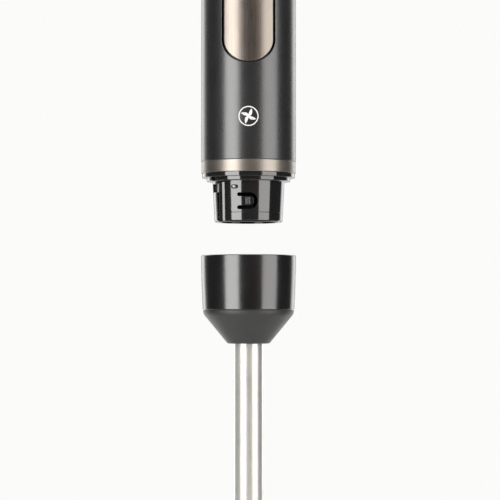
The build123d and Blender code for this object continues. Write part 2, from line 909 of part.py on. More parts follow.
def make_trigger_pivot_pin():
    return bar_x(pivot_radius, -pivot_half_length, pivot_half_length, pivot_y, pivot_height)


def make_trigger_spring():
    half = pivot_hub_inner - 1.2
    coil = coil_spring(spring_turn_radius, spring_wire, 2 * half, 7)
    return Pos(-half, pivot_y, pivot_height) * Rot(0, 90, 0) * coil


def make_switch_plunger():
    return bar_y(plunger_radius, plunger_front, plunger_front + plunger_length, 0, switch_level)


# Leg, in its locked-on place

def make_leg_collar():
    low_edge = collar_low + collar_edge
    middle = (collar_top + low_edge) / 2
    outer = Spline((grip_radius, collar_top - 0.5), (grip_radius - 0.25 * collar_draft, middle),
                   (collar_low_radius, low_edge))
    edge = collar_top - 0.5
    rim = Polyline((collar_bore, collar_top), (grip_radius - 0.5, collar_top), (grip_radius, edge))
    base = Polyline((collar_low_radius, low_edge), (collar_low_radius - collar_edge, collar_low),
                    (collar_bore, collar_low), (collar_bore, collar_top))
    return revolve(Plane.XZ * make_face([rim, outer, base]), Axis.Z)


def make_leg_socket():
    socket = rod(socket_outer, floor_low, socket_top)
    socket -= rod(socket_bore, floor_top, socket_top + 1)
    socket -= turned((0, socket_top - 1), (socket_bore, socket_top - 1), (socket_bore + 1, socket_top + 0.01),
                     (0, socket_top + 0.01))
    socket += rod(bush_housing_radius, floor_top - bush_housing_length, floor_top)
    cam = Pos(0, -cam_offset, 0) * rod(cam_radius, pin_level - pin_radius - 1.2, socket_top + 1)
    socket -= faced(interlock_azimuth, cam)
    pocket = block((-2.4, 2.4), (-socket_bore - 0.6, -socket_bore + 2),
                   (stop_low - tongue_drop - 3, stop_low - tongue_drop + 3))
    socket -= faced(ridge_azimuth + twist_angle, pocket)
    for number in range(lug_count):
        lug = block((-lug_width / 2, lug_width / 2), (-socket_bore - 0.5, -lug_tip + 3),
                    (lug_level - lug_height / 2, lug_level + lug_height / 2))
        lug -= rod(lug_tip, lug_level - lug_height, lug_level + lug_height)
        socket += faced(lug_azimuth + 360 / lug_count * number, lug)
    socket -= rod(drive_radius + bush_wall, bush_low, floor_top + 1)
    socket -= rod(drive_radius + 1, floor_low - 20, floor_top)
    for place in socket_screw_places():
        socket -= place * rod(screw_radius + assembly_gap, -20, 5)
        socket -= place * rod(screw_head_radius + assembly_gap, 0, 5)
    return socket


def socket_screw_places():
    """Seats of the three screws that hold the socket on the cone."""
    seat = floor_top - screw_head_height - 0.2
    return [Rot(0, 0, azimuth) * Pos(0, -14.5, seat) for azimuth in (60, 180, 300)]


def make_socket_screws():
    screws = Part()
    for place in socket_screw_places():
        screws += place * screw(9)
    return screws


def make_leg_cone():
    top_radius = collar_low_radius
    plug = socket_outer
    edge = collar_edge
    plug_top = floor_low - press_gap
    shoulder = collar_low - 0.3
    outer = turned((0, cone_low), (cone_end_radius - 0.8, cone_low), (cone_end_radius, cone_low + 0.8),
                   (top_radius, shoulder - 0.6), (top_radius - edge, shoulder), (plug, shoulder),
                   (plug, plug_top), (0, plug_top))
    cavity_low = cone_low + 9.0
    slope = (top_radius - cone_end_radius) / (collar_low - cone_low)
    low_cavity = cone_end_radius + slope * (cavity_low - cone_low) - cone_wall
    cavity = turned((0, cavity_low), (low_cavity, cavity_low), (plug - cone_wall, collar_low - 1.5),
                    (plug - cone_wall, floor_low), (0, floor_low))
    cone = outer - cavity
    cone += rod(tube_radius + 2.2, cavity_low - 1, tube_top - 1)
    for place in socket_screw_places():
        cone += (place * rod(3.4, -18, -2)) & rod(top_radius, cavity_low - 3, plug_top)
    for place in socket_screw_places():
        cone -= place * rod(screw_radius, -9.6, 2)
    cone -= rod(tube_radius + press_gap, cone_low - 1, tube_top + press_gap)
    seal = rod(tube_radius + 1.3, cone_low + 3.0, cone_low + 5.2)
    housing_low = floor_top - bush_housing_length
    return cone - seal - rod(bush_housing_radius + assembly_gap, housing_low - 0.5, floor_low + 1)


def make_tube_seal():
    return Pos(0, 0, cone_low + 4.1) * Torus(tube_radius + 0.65, 0.6)


def make_shaft_tube():
    return ring(tube_radius, tube_radius - tube_wall, tube_low, tube_top)


def make_tube_bushes():
    bushes = Part()
    outer = tube_radius - tube_wall - press_gap
    for number in range(3):
        middle = tube_low + tube_length * (0.25 + 0.25 * number)
        bush = ring(outer, drive_radius + running_gap, middle - 5, middle + 5)
        bushes += bush - ring(outer + 1, outer - 1.4, middle - 2.5, middle + 2.5)
    return bushes


def make_shaft_bushes():
    outer = drive_radius + bush_wall - press_gap
    inner = drive_radius + running_gap
    upper = ring(outer, inner, bush_low + press_gap, floor_top - 0.3)
    lower = ring(outer, inner, boss_low + 3.2, tube_low - press_gap - 1.6)
    return upper + lower


def bell_curve(inset):
    """Half section of the bell's dome, drawn in by an inset."""
    crown = bell_top - inset
    reach = bell_radius - inset
    curve = Spline((bell_top_radius - inset, crown), (bell_radius * 0.78 - inset, bell_top - 8 - inset),
                   (reach - 1.0, bell_top - 24 - inset / 2), (reach, bell_low))
    sides = Polyline((reach, bell_low), (0, bell_low), (0, crown), (bell_top_radius - inset, crown))
    return make_face([curve, sides])


def make_bell_guard():
    bell = revolve(Plane.XZ * bell_curve(0), Axis.Z) - revolve(Plane.XZ * bell_curve(bell_wall), Axis.Z)
    for number in range(bell_window_count):
        azimuth = 360 / bell_window_count * number
        slot = SlotOverall(20, 7)
        window = extrude(Plane.XZ * Pos(0, bell_top - 19) * slot, amount=2 * bell_radius)
        bell -= faced(azimuth, window)
        scallop = bar_y(scallop_radius, -2 * bell_radius, 0, 0, bell_low - scallop_radius + scallop_rise)
        bell -= faced(azimuth + 45, scallop)
    bell -= rod(hub_boss_radius + press_gap, bell_low - 1, bell_top + 1)
    return bell


def make_bell_hub():
    seat = tube_radius + press_gap
    under = bell_top - bell_wall - press_gap
    hub = turned((seat, bell_top + 1.2), (hub_radius, bell_top + press_gap), (hub_radius, bell_top + 2),
                 (tube_radius + 1.3, bell_top + 9), (seat, bell_top + 9))
    hub += rod(hub_boss_radius, boss_low, bell_top + 2)
    hub += rod(hub_boss_radius + 2.2, under - 2.2, under)
    hub -= rod(seat, tube_low - press_gap, bell_top + 10)
    hub -= rod(drive_radius + bush_wall, boss_low - 1, tube_low - press_gap - 1.5)
    hub -= rod(drive_radius + 1, boss_low, bell_top + 10)
    return hub - rod(seal_radius(), boss_low - 1, boss_low + 3.2)


def seal_radius():
    """Radius of the pocket for the lip seal."""
    return drive_radius + bush_wall + 1.5


def make_lip_seal():
    outer = seal_radius() - press_gap
    inner = drive_radius + running_gap
    low = boss_low
    return turned((inner, low + 0.8), (inner + 1, low), (outer, low), (outer, low + 3),
                  (outer - 1.5, low + 3), (inner + 1.2, low + 1.6), (inner, low + 1.4))


def make_thrust_washer():
    return ring(drive_radius + 3.2, drive_radius + running_gap, washer_low, washer_low + washer_height)


# Drive line in the leg

def make_driven_coupling():
    cup = rod(cup_radius, cup_low, dog_top - 0.6)
    pocket = extrude(Pos(0, 0, cup_base) * dog_outline(dog_gap), amount=dog_length + 3)
    return cup - pocket - rod(drive_radius, cup_low - 1, cup_base + 1)


def make_drive_shaft():
    clip = clip_level()
    shaft = rod(drive_radius, blade_top - blade_height - nut_height + 0.4, cup_base)
    return shaft - ring(drive_radius + 1, drive_radius - 0.4, clip, clip + clip_height)


def clip_level():
    """Height of the shaft clip, just under the upper bush housing."""
    return floor_top - bush_housing_length - 0.6 - clip_height


def make_shaft_clip():
    clip = clip_level()
    low = clip + press_gap
    body = ring(drive_radius + 1.6, drive_radius - 0.4 + press_gap, low, low + clip_height - 2 * press_gap)
    return body - block((-1.2, 1.2), (-10, 0), (clip - 1, clip + 2))


def blade_wing(turn, pitch):
    """One swept cutting wing, from the hub out."""
    half = blade_width / 2
    outline = make_face(Polyline((0, -half), (blade_reach - 4, -half + 1.2), (blade_reach, half - 1.5),
                                 (blade_reach - 3, half), (0, half - 0.5), close=True))
    wing = extrude(outline, amount=blade_height)
    root = Pos(0, 0, blade_top - blade_height)
    return root * Rot(0, 0, turn) * Pos(nut_radius, 0, 0) * Rot(0, pitch, 0) * Pos(-nut_radius, 0, 0) * wing


def make_blade():
    hub = rod(nut_radius + 0.8, blade_top - blade_height, blade_top)
    trim = ring(2 * blade_reach, nut_radius + 0.2, blade_top - 20, blade_top + 20)
    wings = (blade_wing(0, blade_pitch) + blade_wing(180, -blade_pitch)) & trim
    return hub + wings - rod(drive_radius, blade_top - 20, blade_top + 20)


def make_blade_nut():
    collar = rod(nut_radius - 0.8, blade_top, boss_low - 0.8)
    low = blade_top - blade_height - nut_height
    hexagon = extrude(Pos(0, 0, low) * RegularPolygon(nut_radius, 6), amount=nut_height)
    bore = rod(drive_radius, low + 0.4, boss_low)
    return collar + hexagon - bore


motor_unit = {
    "grip_sleeve": make_grip_sleeve, "top_cap": make_top_cap, "cap_screws": make_cap_screws,
    "cord_grommet": make_cord_grommet, "cord_clamp": make_cord_clamp, "clamp_screws": make_clamp_screws,
    "terminal_block": make_terminal_block, "trim_ring": make_trim_ring,
    "spigot_housing": make_spigot_housing, "spigot_seal": make_spigot_seal,
    "interlock_switch": make_interlock_switch,
    "interlock_pin": make_interlock_pin, "chassis_front": make_chassis_front,
    "chassis_rear": make_chassis_rear, "chassis_screws": make_chassis_screws,
    "lower_damper": make_lower_damper, "upper_damper": make_upper_damper,
    "lower_bracket": make_lower_bracket, "upper_bracket": make_upper_bracket,
    "motor_bearings": make_motor_bearings,
    "stator_core": make_stator_core, "field_coils": make_field_coils, "motor_bolts": make_motor_bolts,
    "brush_holders": make_brush_holders, "carbon_brushes": make_carbon_brushes,
    "brush_springs": make_brush_springs, "control_board": make_control_board,
    "triac_heat_sink": make_triac_heat_sink, "suppression_capacitor": make_suppression_capacitor,
    "choke_coil": make_choke_coil, "trigger_switch": make_trigger_switch,
    "trigger_cover": make_trigger_cover, "trigger_lever": make_trigger_lever,
    "trigger_pivot_pin": make_trigger_pivot_pin, "trigger_spring": make_trigger_spring,
    "switch_plunger": make_switch_plunger, "rotor_shaft": make_rotor_shaft,
    "armature_core": make_armature_core, "armature_winding": make_armature_winding,
    "commutator": make_commutator, "cooling_fan": make_cooling_fan,
    "output_coupling": make_output_coupling,
}

leg = {
    "leg_collar": make_leg_collar, "leg_socket": make_leg_socket, "socket_screws": make_socket_screws,
    "leg_cone": make_leg_cone, "tube_seal": make_tube_seal, "shaft_tube": make_shaft_tube,
    "tube_bushes": make_tube_bushes, "bell_hub": make_bell_hub, "bell_guard": make_bell_guard,
    "shaft_bushes": make_shaft_bushes, "lip_seal": make_lip_seal,
    "thrust_washer": make_thrust_washer, "driven_coupling": make_driven_coupling,
    "drive_shaft": make_drive_shaft, "shaft_clip": make_shaft_clip, "blade": make_blade,
    "blade_nut_and_collar": make_blade_nut,
}

os.makedirs("parts", exist_ok=True)
for name, make in motor_unit.items():
    export_step(make(), f"parts/{name}.step")
for name, make in leg.items():
    export_step(Pos(0, 0, -leg_travel) * make(), f"parts/{name}.step")
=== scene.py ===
"""Looks of an immersion blender with its leg pulled off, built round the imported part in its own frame.

Lengths are in millimetres until a mesh is finished, and azimuths are degrees about +Z, counted from
the front (-Y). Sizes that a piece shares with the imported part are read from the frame.
"""

import json
import logging
import math
from dataclasses import dataclass, field
from enum import Enum
from typing import Callable, Iterable, Sequence

import bmesh
import bpy
from mathutils import Matrix, Vector
from mathutils.geometry import interpolate_bezier

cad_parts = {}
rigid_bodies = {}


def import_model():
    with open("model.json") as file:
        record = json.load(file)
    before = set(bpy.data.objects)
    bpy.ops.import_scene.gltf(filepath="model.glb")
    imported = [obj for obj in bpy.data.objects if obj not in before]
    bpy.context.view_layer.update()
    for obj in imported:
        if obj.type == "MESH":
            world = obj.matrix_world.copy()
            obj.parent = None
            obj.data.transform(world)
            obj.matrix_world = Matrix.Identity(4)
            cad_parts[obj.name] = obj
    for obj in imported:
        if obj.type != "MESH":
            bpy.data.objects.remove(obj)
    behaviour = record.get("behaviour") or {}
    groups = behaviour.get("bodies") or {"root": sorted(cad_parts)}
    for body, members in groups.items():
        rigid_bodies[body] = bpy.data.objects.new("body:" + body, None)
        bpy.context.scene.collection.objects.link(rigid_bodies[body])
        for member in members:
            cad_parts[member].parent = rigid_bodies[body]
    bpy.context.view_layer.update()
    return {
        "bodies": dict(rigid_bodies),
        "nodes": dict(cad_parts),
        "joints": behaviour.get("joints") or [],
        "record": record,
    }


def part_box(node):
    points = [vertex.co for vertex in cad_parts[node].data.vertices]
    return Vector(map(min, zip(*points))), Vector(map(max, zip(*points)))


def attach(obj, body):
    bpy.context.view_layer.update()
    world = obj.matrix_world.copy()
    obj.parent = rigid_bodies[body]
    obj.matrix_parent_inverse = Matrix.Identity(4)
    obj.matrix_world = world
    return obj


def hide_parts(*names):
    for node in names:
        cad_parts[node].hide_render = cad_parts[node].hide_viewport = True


MM = 0.001
SHARP_ANGLE = math.radians(32)
SUPPORT = 0.35
ROUND_HANDLE = 0.5523
FLOOR_GAP = 0.0005

Colour = tuple[float, float, float]
Shape = bmesh.types.BMesh
Socket = bpy.types.NodeSocket

log = logging.getLogger("immersion_blender")


# ---------------------------------------------------------------------------------------------
# Finishes
# ---------------------------------------------------------------------------------------------


class Lay(Enum):
    """Way that brushing runs over a metal piece, as stretches of the noise along x, y and z."""

    ALONG = (5200.0, 5200.0, 26.0)
    AROUND = (60.0, 60.0, 6500.0)
    ACROSS = (30.0, 5200.0, 5200.0)


class Graph:
    """Adds and links the shader nodes of one material or world."""

    def __init__(self, owner: bpy.types.Material | bpy.types.World, output: str = "OutputMaterial") -> None:
        """Empties the owner's tree and adds the output.

        Args:
            owner: The material or world to write.
            output: Type of the output node without the ShaderNode prefix.
        """
        owner.use_nodes = True
        self.tree = owner.node_tree
        self.tree.nodes.clear()
        self.output = self.add(output)

    def add(self, kind: str, sockets: dict | None = None, **settings: object) -> bpy.types.Node:
        """Adds a node, sets its options and fills or links its sockets.

        Args:
            kind: Shader node type without the ShaderNode prefix.
            sockets: Values or output sockets by input name or number.
            **settings: Options of the node itself.

        Returns:
            The new node.
        """
        node = self.tree.nodes.new("ShaderNode" + kind)
        for name, value in settings.items():
            setattr(node, name, value)
        for name, value in (sockets or {}).items():
            if isinstance(value, Socket):
                self.tree.links.new(value, node.inputs[name])
            else:
                node.inputs[name].default_value = value
        return node

    def show(self, shader: bpy.types.Node) -> None:
        """Links a shader to the output."""
        self.tree.links.new(shader.outputs[0], self.output.inputs["Surface"])

    def noise(self, vector: Socket, scale: float, detail: float = 3.0) -> Socket:
        """Adds a noise texture and returns its value, from 0 to 1."""
        return self.add("TexNoise", {"Vector": vector, "Scale": scale, "Detail": detail}).outputs[0]

    def stretched(self, vector: Socket, scale: Sequence[float]) -> Socket:
        """Adds a mapping node and returns the scaled vector."""
        return self.add("Mapping", {"Vector": vector, "Scale": tuple(scale)}).outputs[0]

    def spread(self, value: Socket, low: float, high: float) -> Socket:
        """Maps the middle of a noise onto a range and returns it."""
        sockets = {"Value": value, "From Min": 0.3, "From Max": 0.7, "To Min": low, "To Max": high}
        return self.add("MapRange", sockets).outputs[0]

    def blend(self, share: Socket, one: Colour, other: Colour) -> Socket:
        """Blends two colours by a share and returns the result."""
        ramp = self.add("ValToRGB", {"Fac": share})
        ramp.color_ramp.elements[0].color = (*one, 1)
        ramp.color_ramp.elements[0].position = 0.3
        ramp.color_ramp.elements[1].color = (*other, 1)
        ramp.color_ramp.elements[1].position = 0.7
        return ramp.outputs[0]

    def bump(self, height: Socket, depth: float, normal: Socket | None = None,
             strength: float = 1.0) -> Socket:
        """Adds a bump of a depth in millimetres and returns the normal."""
        sockets = {"Height": height, "Distance": depth * MM, "Strength": strength}
        if normal is not None:
            sockets["Normal"] = normal
        return self.add("Bump", sockets).outputs[0]


def shade(colour: Colour, factor: float) -> Colour:
    """Returns the colour with its brightness multiplied by a factor."""
    return tuple(min(1.0, part * factor) for part in colour)


@dataclass(frozen=True)
class Finish:
    """Finish that every surface starts from.

    Attributes:
        name: Name of the material.
        colour: Base colour, linear.
        roughness: Middle roughness.
        edge: Radius in millimetres that edges look rounded by.
    """

    name: str
    colour: Colour
    roughness: float
    edge: float = 0.0

    def material(self) -> bpy.types.Material:
        """Returns the finish's material, made on first use."""
        made = bpy.data.materials.get(self.name)
        if made is None:
            made = bpy.data.materials.new(self.name)
            made.diffuse_color = (*self.colour, 1)
            graph = Graph(made)
            place = graph.add("TexCoord").outputs["Object"]
            shader = graph.add("BsdfPrincipled")
            graph.show(shader)
            self.paint(graph, place, shader)
        return made

    def rounded(self, graph: Graph) -> Socket | None:
        """Returns the normal that rounds edges by the finish's edge radius."""
        if not self.edge:
            return None
        return graph.add("Bevel", {"Radius": self.edge * MM}, samples=6).outputs[0]

    def link(self, graph: Graph, shader: bpy.types.Node, **sockets: Socket) -> None:
        """Links sockets of the shader, with spaces written as underscores."""
        for name, socket in sockets.items():
            graph.tree.links.new(socket, shader.inputs[name.replace("_", " ")])

    def paint(self, graph: Graph, place: Socket, shader: bpy.types.Node) -> None:
        """Sets the shader; each kind of finish has its own way."""
        raise NotImplementedError


@dataclass(frozen=True)
class Plastic(Finish):
    """Moulded plastic with a fine surface grain and slightly uneven gloss.

    Attributes:
        grain: Size of the moulded grain, mm.
        depth: Depth of the grain, mm.
        sway: Depth of the long waves that a moulded wall has, mm.
        coat: Weight of a lacquer coat.
        sheen: Weight of the pale sheen that a matte skin has at a glancing angle.
        specular: Specular level.
        haze: Share by which roughness varies.
    """

    grain: float = 0.25
    depth: float = 0.004
    sway: float = 0.0
    coat: float = 0.0
    sheen: float = 0.0
    specular: float = 0.5
    haze: float = 0.12

    def paint(self, graph: Graph, place: Socket, shader: bpy.types.Node) -> None:
        """Sets the shader to a grained plastic."""
        shader.inputs["Specular IOR Level"].default_value = self.specular
        shader.inputs["Coat Weight"].default_value = self.coat
        shader.inputs["Coat Roughness"].default_value = 0.04
        shader.inputs["Sheen Weight"].default_value = self.sheen
        shader.inputs["Sheen Roughness"].default_value = 0.35
        cloud = graph.noise(place, 90.0)
        grain = graph.noise(place, 1.0 / (self.grain * MM), 2.0)
        colour = graph.blend(cloud, shade(self.colour, 0.93), shade(self.colour, 1.08))
        smear = graph.noise(graph.stretched(place, (1.0, 1.0, 0.35)), 160.0, 4.0)
        gloss = graph.spread(smear, self.roughness * (1 - self.haze), self.roughness * (1 + self.haze))
        normal = self.rounded(graph)
        if self.sway:
            normal = graph.bump(graph.noise(place, 45.0, 1.0), self.sway, normal)
        normal = graph.bump(grain, self.depth, normal)
        self.link(graph, shader, Base_Color=colour, Roughness=gloss, Normal=normal)


@dataclass(frozen=True)
class BrushedMetal(Finish):
    """Metal with fine brushing.

    Attributes:
        lay: Way that the brushing runs.
        depth: Depth of the brushing, mm.
        streak: Share by which roughness varies from streak to streak.
        stretch: Anisotropy of the gloss.
        tint: Share by which the colour varies.
        metallic: Share of bare metal; the rest is the scatter of the brushing's ridges.
    """

    lay: Lay = Lay.ALONG
    depth: float = 0.0012
    streak: float = 0.25
    stretch: float = 0.4
    tint: float = 0.05
    metallic: float = 1.0

    def paint(self, graph: Graph, place: Socket, shader: bpy.types.Node) -> None:
        """Sets the shader to a brushed metal."""
        shader.inputs["Metallic"].default_value = self.metallic
        shader.inputs["Anisotropic"].default_value = self.stretch
        axis = {Lay.ALONG: 0.25, Lay.AROUND: 0.0, Lay.ACROSS: 0.0}[self.lay]
        shader.inputs["Anisotropic Rotation"].default_value = axis
        fine = graph.noise(graph.stretched(place, self.lay.value), 1.0, 2.0)
        broad = graph.noise(graph.stretched(place, [part * 0.12 for part in self.lay.value]), 1.0, 3.0)
        cloud = graph.noise(place, 70.0)
        colour = graph.blend(broad, shade(self.colour, 1 - self.tint), shade(self.colour, 1 + self.tint))
        low, high = self.roughness * (1 - self.streak), self.roughness * (1 + self.streak)
        gloss = graph.spread(fine, low, high)
        haze = graph.spread(cloud, 0.92, 1.1)
        hazed = graph.add("Math", {0: gloss, 1: haze}, operation="MULTIPLY").outputs[0]
        normal = graph.bump(fine, self.depth, self.rounded(graph))
        round_axis = graph.add("Tangent", direction_type="RADIAL", axis="Z").outputs[0]
        self.link(graph, shader, Base_Color=colour, Roughness=hazed, Normal=normal, Tangent=round_axis)


@dataclass(frozen=True)
class CastMetal(Finish):
    """Die-cast or sintered metal with a fine sandy skin.

    Attributes:
        grain: Size of the skin's grain, mm.
        depth: Depth of the grain, mm.
    """

    grain: float = 0.5
    depth: float = 0.03

    def paint(self, graph: Graph, place: Socket, shader: bpy.types.Node) -> None:
        """Sets the shader to a cast metal."""
        shader.inputs["Metallic"].default_value = 1.0
        grain = graph.noise(place, 1.0 / (self.grain * MM), 4.0)
        cloud = graph.noise(place, 120.0)
        colour = graph.blend(cloud, shade(self.colour, 0.86), shade(self.colour, 1.08))
        gloss = graph.spread(grain, self.roughness * 0.85, self.roughness * 1.15)
        normal = graph.bump(grain, self.depth, self.rounded(graph))
        self.link(graph, shader, Base_Color=colour, Roughness=gloss, Normal=normal)


@dataclass(frozen=True)
class Banded(Finish):
    """Metal laid up in bands, such as stacked sheets or wound wire.

    Attributes:
        pitch: Distance from band to band, mm.
        depth: Depth of the gaps, mm.
        seam: Colour in the gaps.
        axis: Direction across the bands.
        metallic: Share of metal in the look.
    """

    pitch: float = 0.5
    depth: float = 0.08
    seam: Colour = (0.05, 0.05, 0.05)
    axis: str = "Z"
    metallic: float = 1.0

    def paint(self, graph: Graph, place: Socket, shader: bpy.types.Node) -> None:
        """Sets the shader to bands with dark gaps."""
        shader.inputs["Metallic"].default_value = self.metallic
        shader.inputs["Coat Weight"].default_value = 0.3
        sockets = {"Vector": place, "Scale": math.pi / (10 * self.pitch * MM), "Distortion": 0.25}
        wave = graph.add("TexWave", sockets, bands_direction=self.axis).outputs["Fac"]
        cloud = graph.noise(place, 260.0)
        bands = graph.blend(wave, self.seam, self.colour)
        tones = graph.blend(cloud, (0.8, 0.8, 0.8), (1.0, 1.0, 1.0))
        sockets = {"Factor": 1.0, 6: bands, 7: tones}
        colour = graph.add("Mix", sockets, data_type="RGBA", blend_type="MULTIPLY").outputs[2]
        gloss = graph.spread(cloud, self.roughness * 0.8, self.roughness * 1.2)
        normal = graph.bump(wave, self.depth, self.rounded(graph))
        self.link(graph, shader, Base_Color=colour, Roughness=gloss, Normal=normal)


@dataclass(frozen=True)
class Rubber(Finish):
    """Soft rubber with a bloom and a fine moulded grain."""

    def paint(self, graph: Graph, place: Socket, shader: bpy.types.Node) -> None:
        """Sets the shader to rubber."""
        shader.inputs["Specular IOR Level"].default_value = 0.35
        shader.inputs["Sheen Weight"].default_value = 0.15
        shader.inputs["Sheen Roughness"].default_value = 0.5
        grain = graph.noise(place, 4200.0, 3.0)
        bloom = graph.noise(place, 180.0, 4.0)
        colour = graph.blend(bloom, self.colour, shade(self.colour, 1.5))
        gloss = graph.spread(bloom, self.roughness * 0.9, self.roughness * 1.1)
        normal = graph.bump(grain, 0.012, self.rounded(graph))
        self.link(graph, shader, Base_Color=colour, Roughness=gloss, Normal=normal)


@dataclass(frozen=True)
class CircuitBoard(Finish):
    """Lacquered board with copper tracks under the lacquer and tinned pads."""

    pad: Colour = (0.55, 0.55, 0.5)

    def paint(self, graph: Graph, place: Socket, shader: bpy.types.Node) -> None:
        """Sets the shader to a circuit board."""
        shader.inputs["Coat Weight"].default_value = 0.5
        sockets = {"Vector": place, "Scale": 420.0, "Randomness": 0.35}
        cells = graph.add("TexVoronoi", sockets, distance="CHEBYCHEV", feature="F1").outputs["Distance"]
        tracks = graph.add("Math", {0: cells, 1: 0.42}, operation="GREATER_THAN").outputs[0]
        pads = graph.add("Math", {0: cells, 1: 0.11}, operation="LESS_THAN").outputs[0]
        lacquer = graph.blend(tracks, self.colour, shade(self.colour, 1.8))
        sockets = {"Factor": pads, 6: lacquer, 7: (*self.pad, 1)}
        colour = graph.add("Mix", sockets, data_type="RGBA").outputs[2]
        gloss = graph.spread(graph.noise(place, 300.0), self.roughness * 0.8, self.roughness * 1.2)
        normal = graph.bump(tracks, 0.03)
        self.link(graph, shader, Base_Color=colour, Roughness=gloss, Normal=normal)


SATIN = Plastic("graphite_satin_shell", (0.0105, 0.0105, 0.0112), 0.28, 0.3, grain=0.16, depth=0.0009,
                sway=0.003, specular=0.85, haze=0.06)
CHAMPAGNE = BrushedMetal("champagne_brushed_plate", (0.18, 0.157, 0.137), 0.31, 0.0, Lay.ALONG, 0.0007, 0.2,
                         0.2, metallic=0.92)
CHAMPAGNE_RING = BrushedMetal("champagne_turned_ring", (0.205, 0.184, 0.162), 0.33, 0.0, Lay.AROUND, 0.0002,
                              0.1, 0.2, tint=0.02, metallic=0.88)
GLOSS = Plastic("black_gloss_spigot", (0.008, 0.008, 0.0085), 0.09, 0.2, grain=0.8, depth=0.0003, sway=0.002,
                specular=0.85)
CUP_GLOSS = Plastic("black_gloss_collar", (0.0055, 0.0055, 0.0058), 0.2, 0.25, grain=0.4, depth=0.0008,
                    sway=0.004, specular=0.85)
MATTE = Plastic("black_matte_cone", (0.0115, 0.0114, 0.011), 0.5, 0.3, grain=0.35, depth=0.012, haze=0.08,
                sheen=0.2, specular=0.5)
TUBE_STEEL = BrushedMetal("steel_brushed_along", (0.53, 0.517, 0.492), 0.3, 0.0, Lay.ALONG, 0.0008, 0.2, 0.2,
                          metallic=0.64)
BELL_STEEL = BrushedMetal("steel_brushed_around", (0.60, 0.58, 0.55), 0.26, 0.2, Lay.AROUND, 0.0006, 0.18,
                          0.3, metallic=0.8)
BLADE_STEEL = BrushedMetal("steel_ground_across", (0.64, 0.64, 0.64), 0.22, 0.08, Lay.ACROSS, 0.0015, 0.3,
                           0.4)
BRIGHT_STEEL = BrushedMetal("steel_bright_turned", (0.60, 0.60, 0.61), 0.24, 0.12, Lay.AROUND, 0.0012, 0.3,
                            0.3)
CAST = CastMetal("aluminium_die_cast", (0.56, 0.57, 0.58), 0.42, 0.25)
SHEETS = Banded("steel_stacked_sheets", (0.36, 0.36, 0.38), 0.42, 0.0, pitch=0.5, depth=0.06)
WIRE = Banded("copper_lacquered_wire", (0.62, 0.24, 0.09), 0.28, 0.0, pitch=0.45, depth=0.2,
              seam=(0.12, 0.03, 0.01))
BRONZE = CastMetal("bronze_sintered", (0.50, 0.34, 0.15), 0.5, 0.1, grain=0.25, depth=0.02)
BLACK_RUBBER = Rubber("rubber_black", (0.018, 0.018, 0.018), 0.6, 0.3)
INNER = Plastic("plastic_inner_grey", (0.085, 0.085, 0.09), 0.5, 0.25, grain=0.5, depth=0.02)
WHITE = Plastic("plastic_white", (0.76, 0.76, 0.73), 0.38, 0.15, grain=0.4, depth=0.006)
COUPLING = Plastic("plastic_glass_filled", (0.62, 0.59, 0.52), 0.42, 0.15, grain=0.18, depth=0.01)
BLACK_COUPLING = Plastic("plastic_glass_filled_black", (0.012, 0.012, 0.012), 0.5, 0.15, grain=0.18,
                         depth=0.01, specular=0.3)
PIN = Plastic("plastic_pin_grey", (0.30, 0.30, 0.29), 0.4, 0.15, grain=0.4, depth=0.006)
CARBON = Plastic("carbon_pressed", (0.028, 0.028, 0.03), 0.55, 0.1, grain=0.12, depth=0.015)
BOARD = CircuitBoard("board_green_lacquer", (0.02, 0.12, 0.05), 0.32)
BLUE = Plastic("blue_dipped_case", (0.04, 0.12, 0.36), 0.22, 0.4, grain=0.9, depth=0.02, coat=0.5)
PRINT = Plastic("light_grey_print", (0.52, 0.52, 0.51), 0.45, 0.0, grain=0.1, depth=0.002)

NODE_FINISHES: dict[str, Finish] = {
    "graphite_satin": SATIN, "champagne_metal": CHAMPAGNE, "black_gloss": GLOSS, "black_matte": MATTE,
    "inner_plastic": INNER, "white_plastic": WHITE, "brushed_tube": TUBE_STEEL,
    "bright_steel": BRIGHT_STEEL, "cast_bracket": CAST, "laminated_steel": SHEETS,
    "copper_winding": WIRE, "bronze_bush": BRONZE, "black_rubber": BLACK_RUBBER,
    "coupling_plastic": COUPLING, "carbon": CARBON, "board_green": BOARD, "component_blue": BLUE,
}
OWN_FINISHES: dict[str, Finish] = {"output_coupling": BLACK_COUPLING, "interlock_pin": PIN}


# ---------------------------------------------------------------------------------------------
# Shared shape work
# ---------------------------------------------------------------------------------------------


@dataclass(frozen=True)
class Span:
    """Packed size of a CAD node, mm.

    Attributes:
        low: Lowest height.
        high: Highest height.
        radius: Largest distance from the axis along x.
    """

    low: float
    high: float
    radius: float

    @classmethod
    def of(cls, node: str) -> "Span":
        """Reads the size of a node from the frame."""
        low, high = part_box(node)
        return cls(low.z / MM, high.z / MM, high.x / MM)


@dataclass(frozen=True)
class Corner:
    """Point of a turned outline, mm.

    Attributes:
        radius: Distance from the axis.
        height: Height along the axis.
        rounding: Length that the corner's rounding takes from each side.
    """

    radius: float
    height: float
    rounding: float = 0.0


def arc(points: Sequence[tuple[float, float]], steps: int = 14) -> list[Corner]:
    """Draws a smooth curve from a start, two handles and an end.

    Args:
        points: Start, first handle, second handle and end, as (radius, height).
        steps: Number of points along the curve.

    Returns:
        The curve's points.
    """
    start, one, other, end = (Vector((radius, height, 0)) for radius, height in points)
    return [Corner(point.x, point.y) for point in interpolate_bezier(start, one, other, end, steps)]


def spun(mesh: Shape, parts: list, angle: float, steps: int, merge: bool) -> None:
    """Spins parts of a mesh about the Z axis by an angle; a full spin merges its ends."""
    bmesh.ops.spin(mesh, geom=parts, cent=(0, 0, 0), axis=(0, 0, 1), dvec=(0, 0, 0), angle=angle, steps=steps,
                   use_merge=merge, use_normal_flip=False, use_duplicate=False)


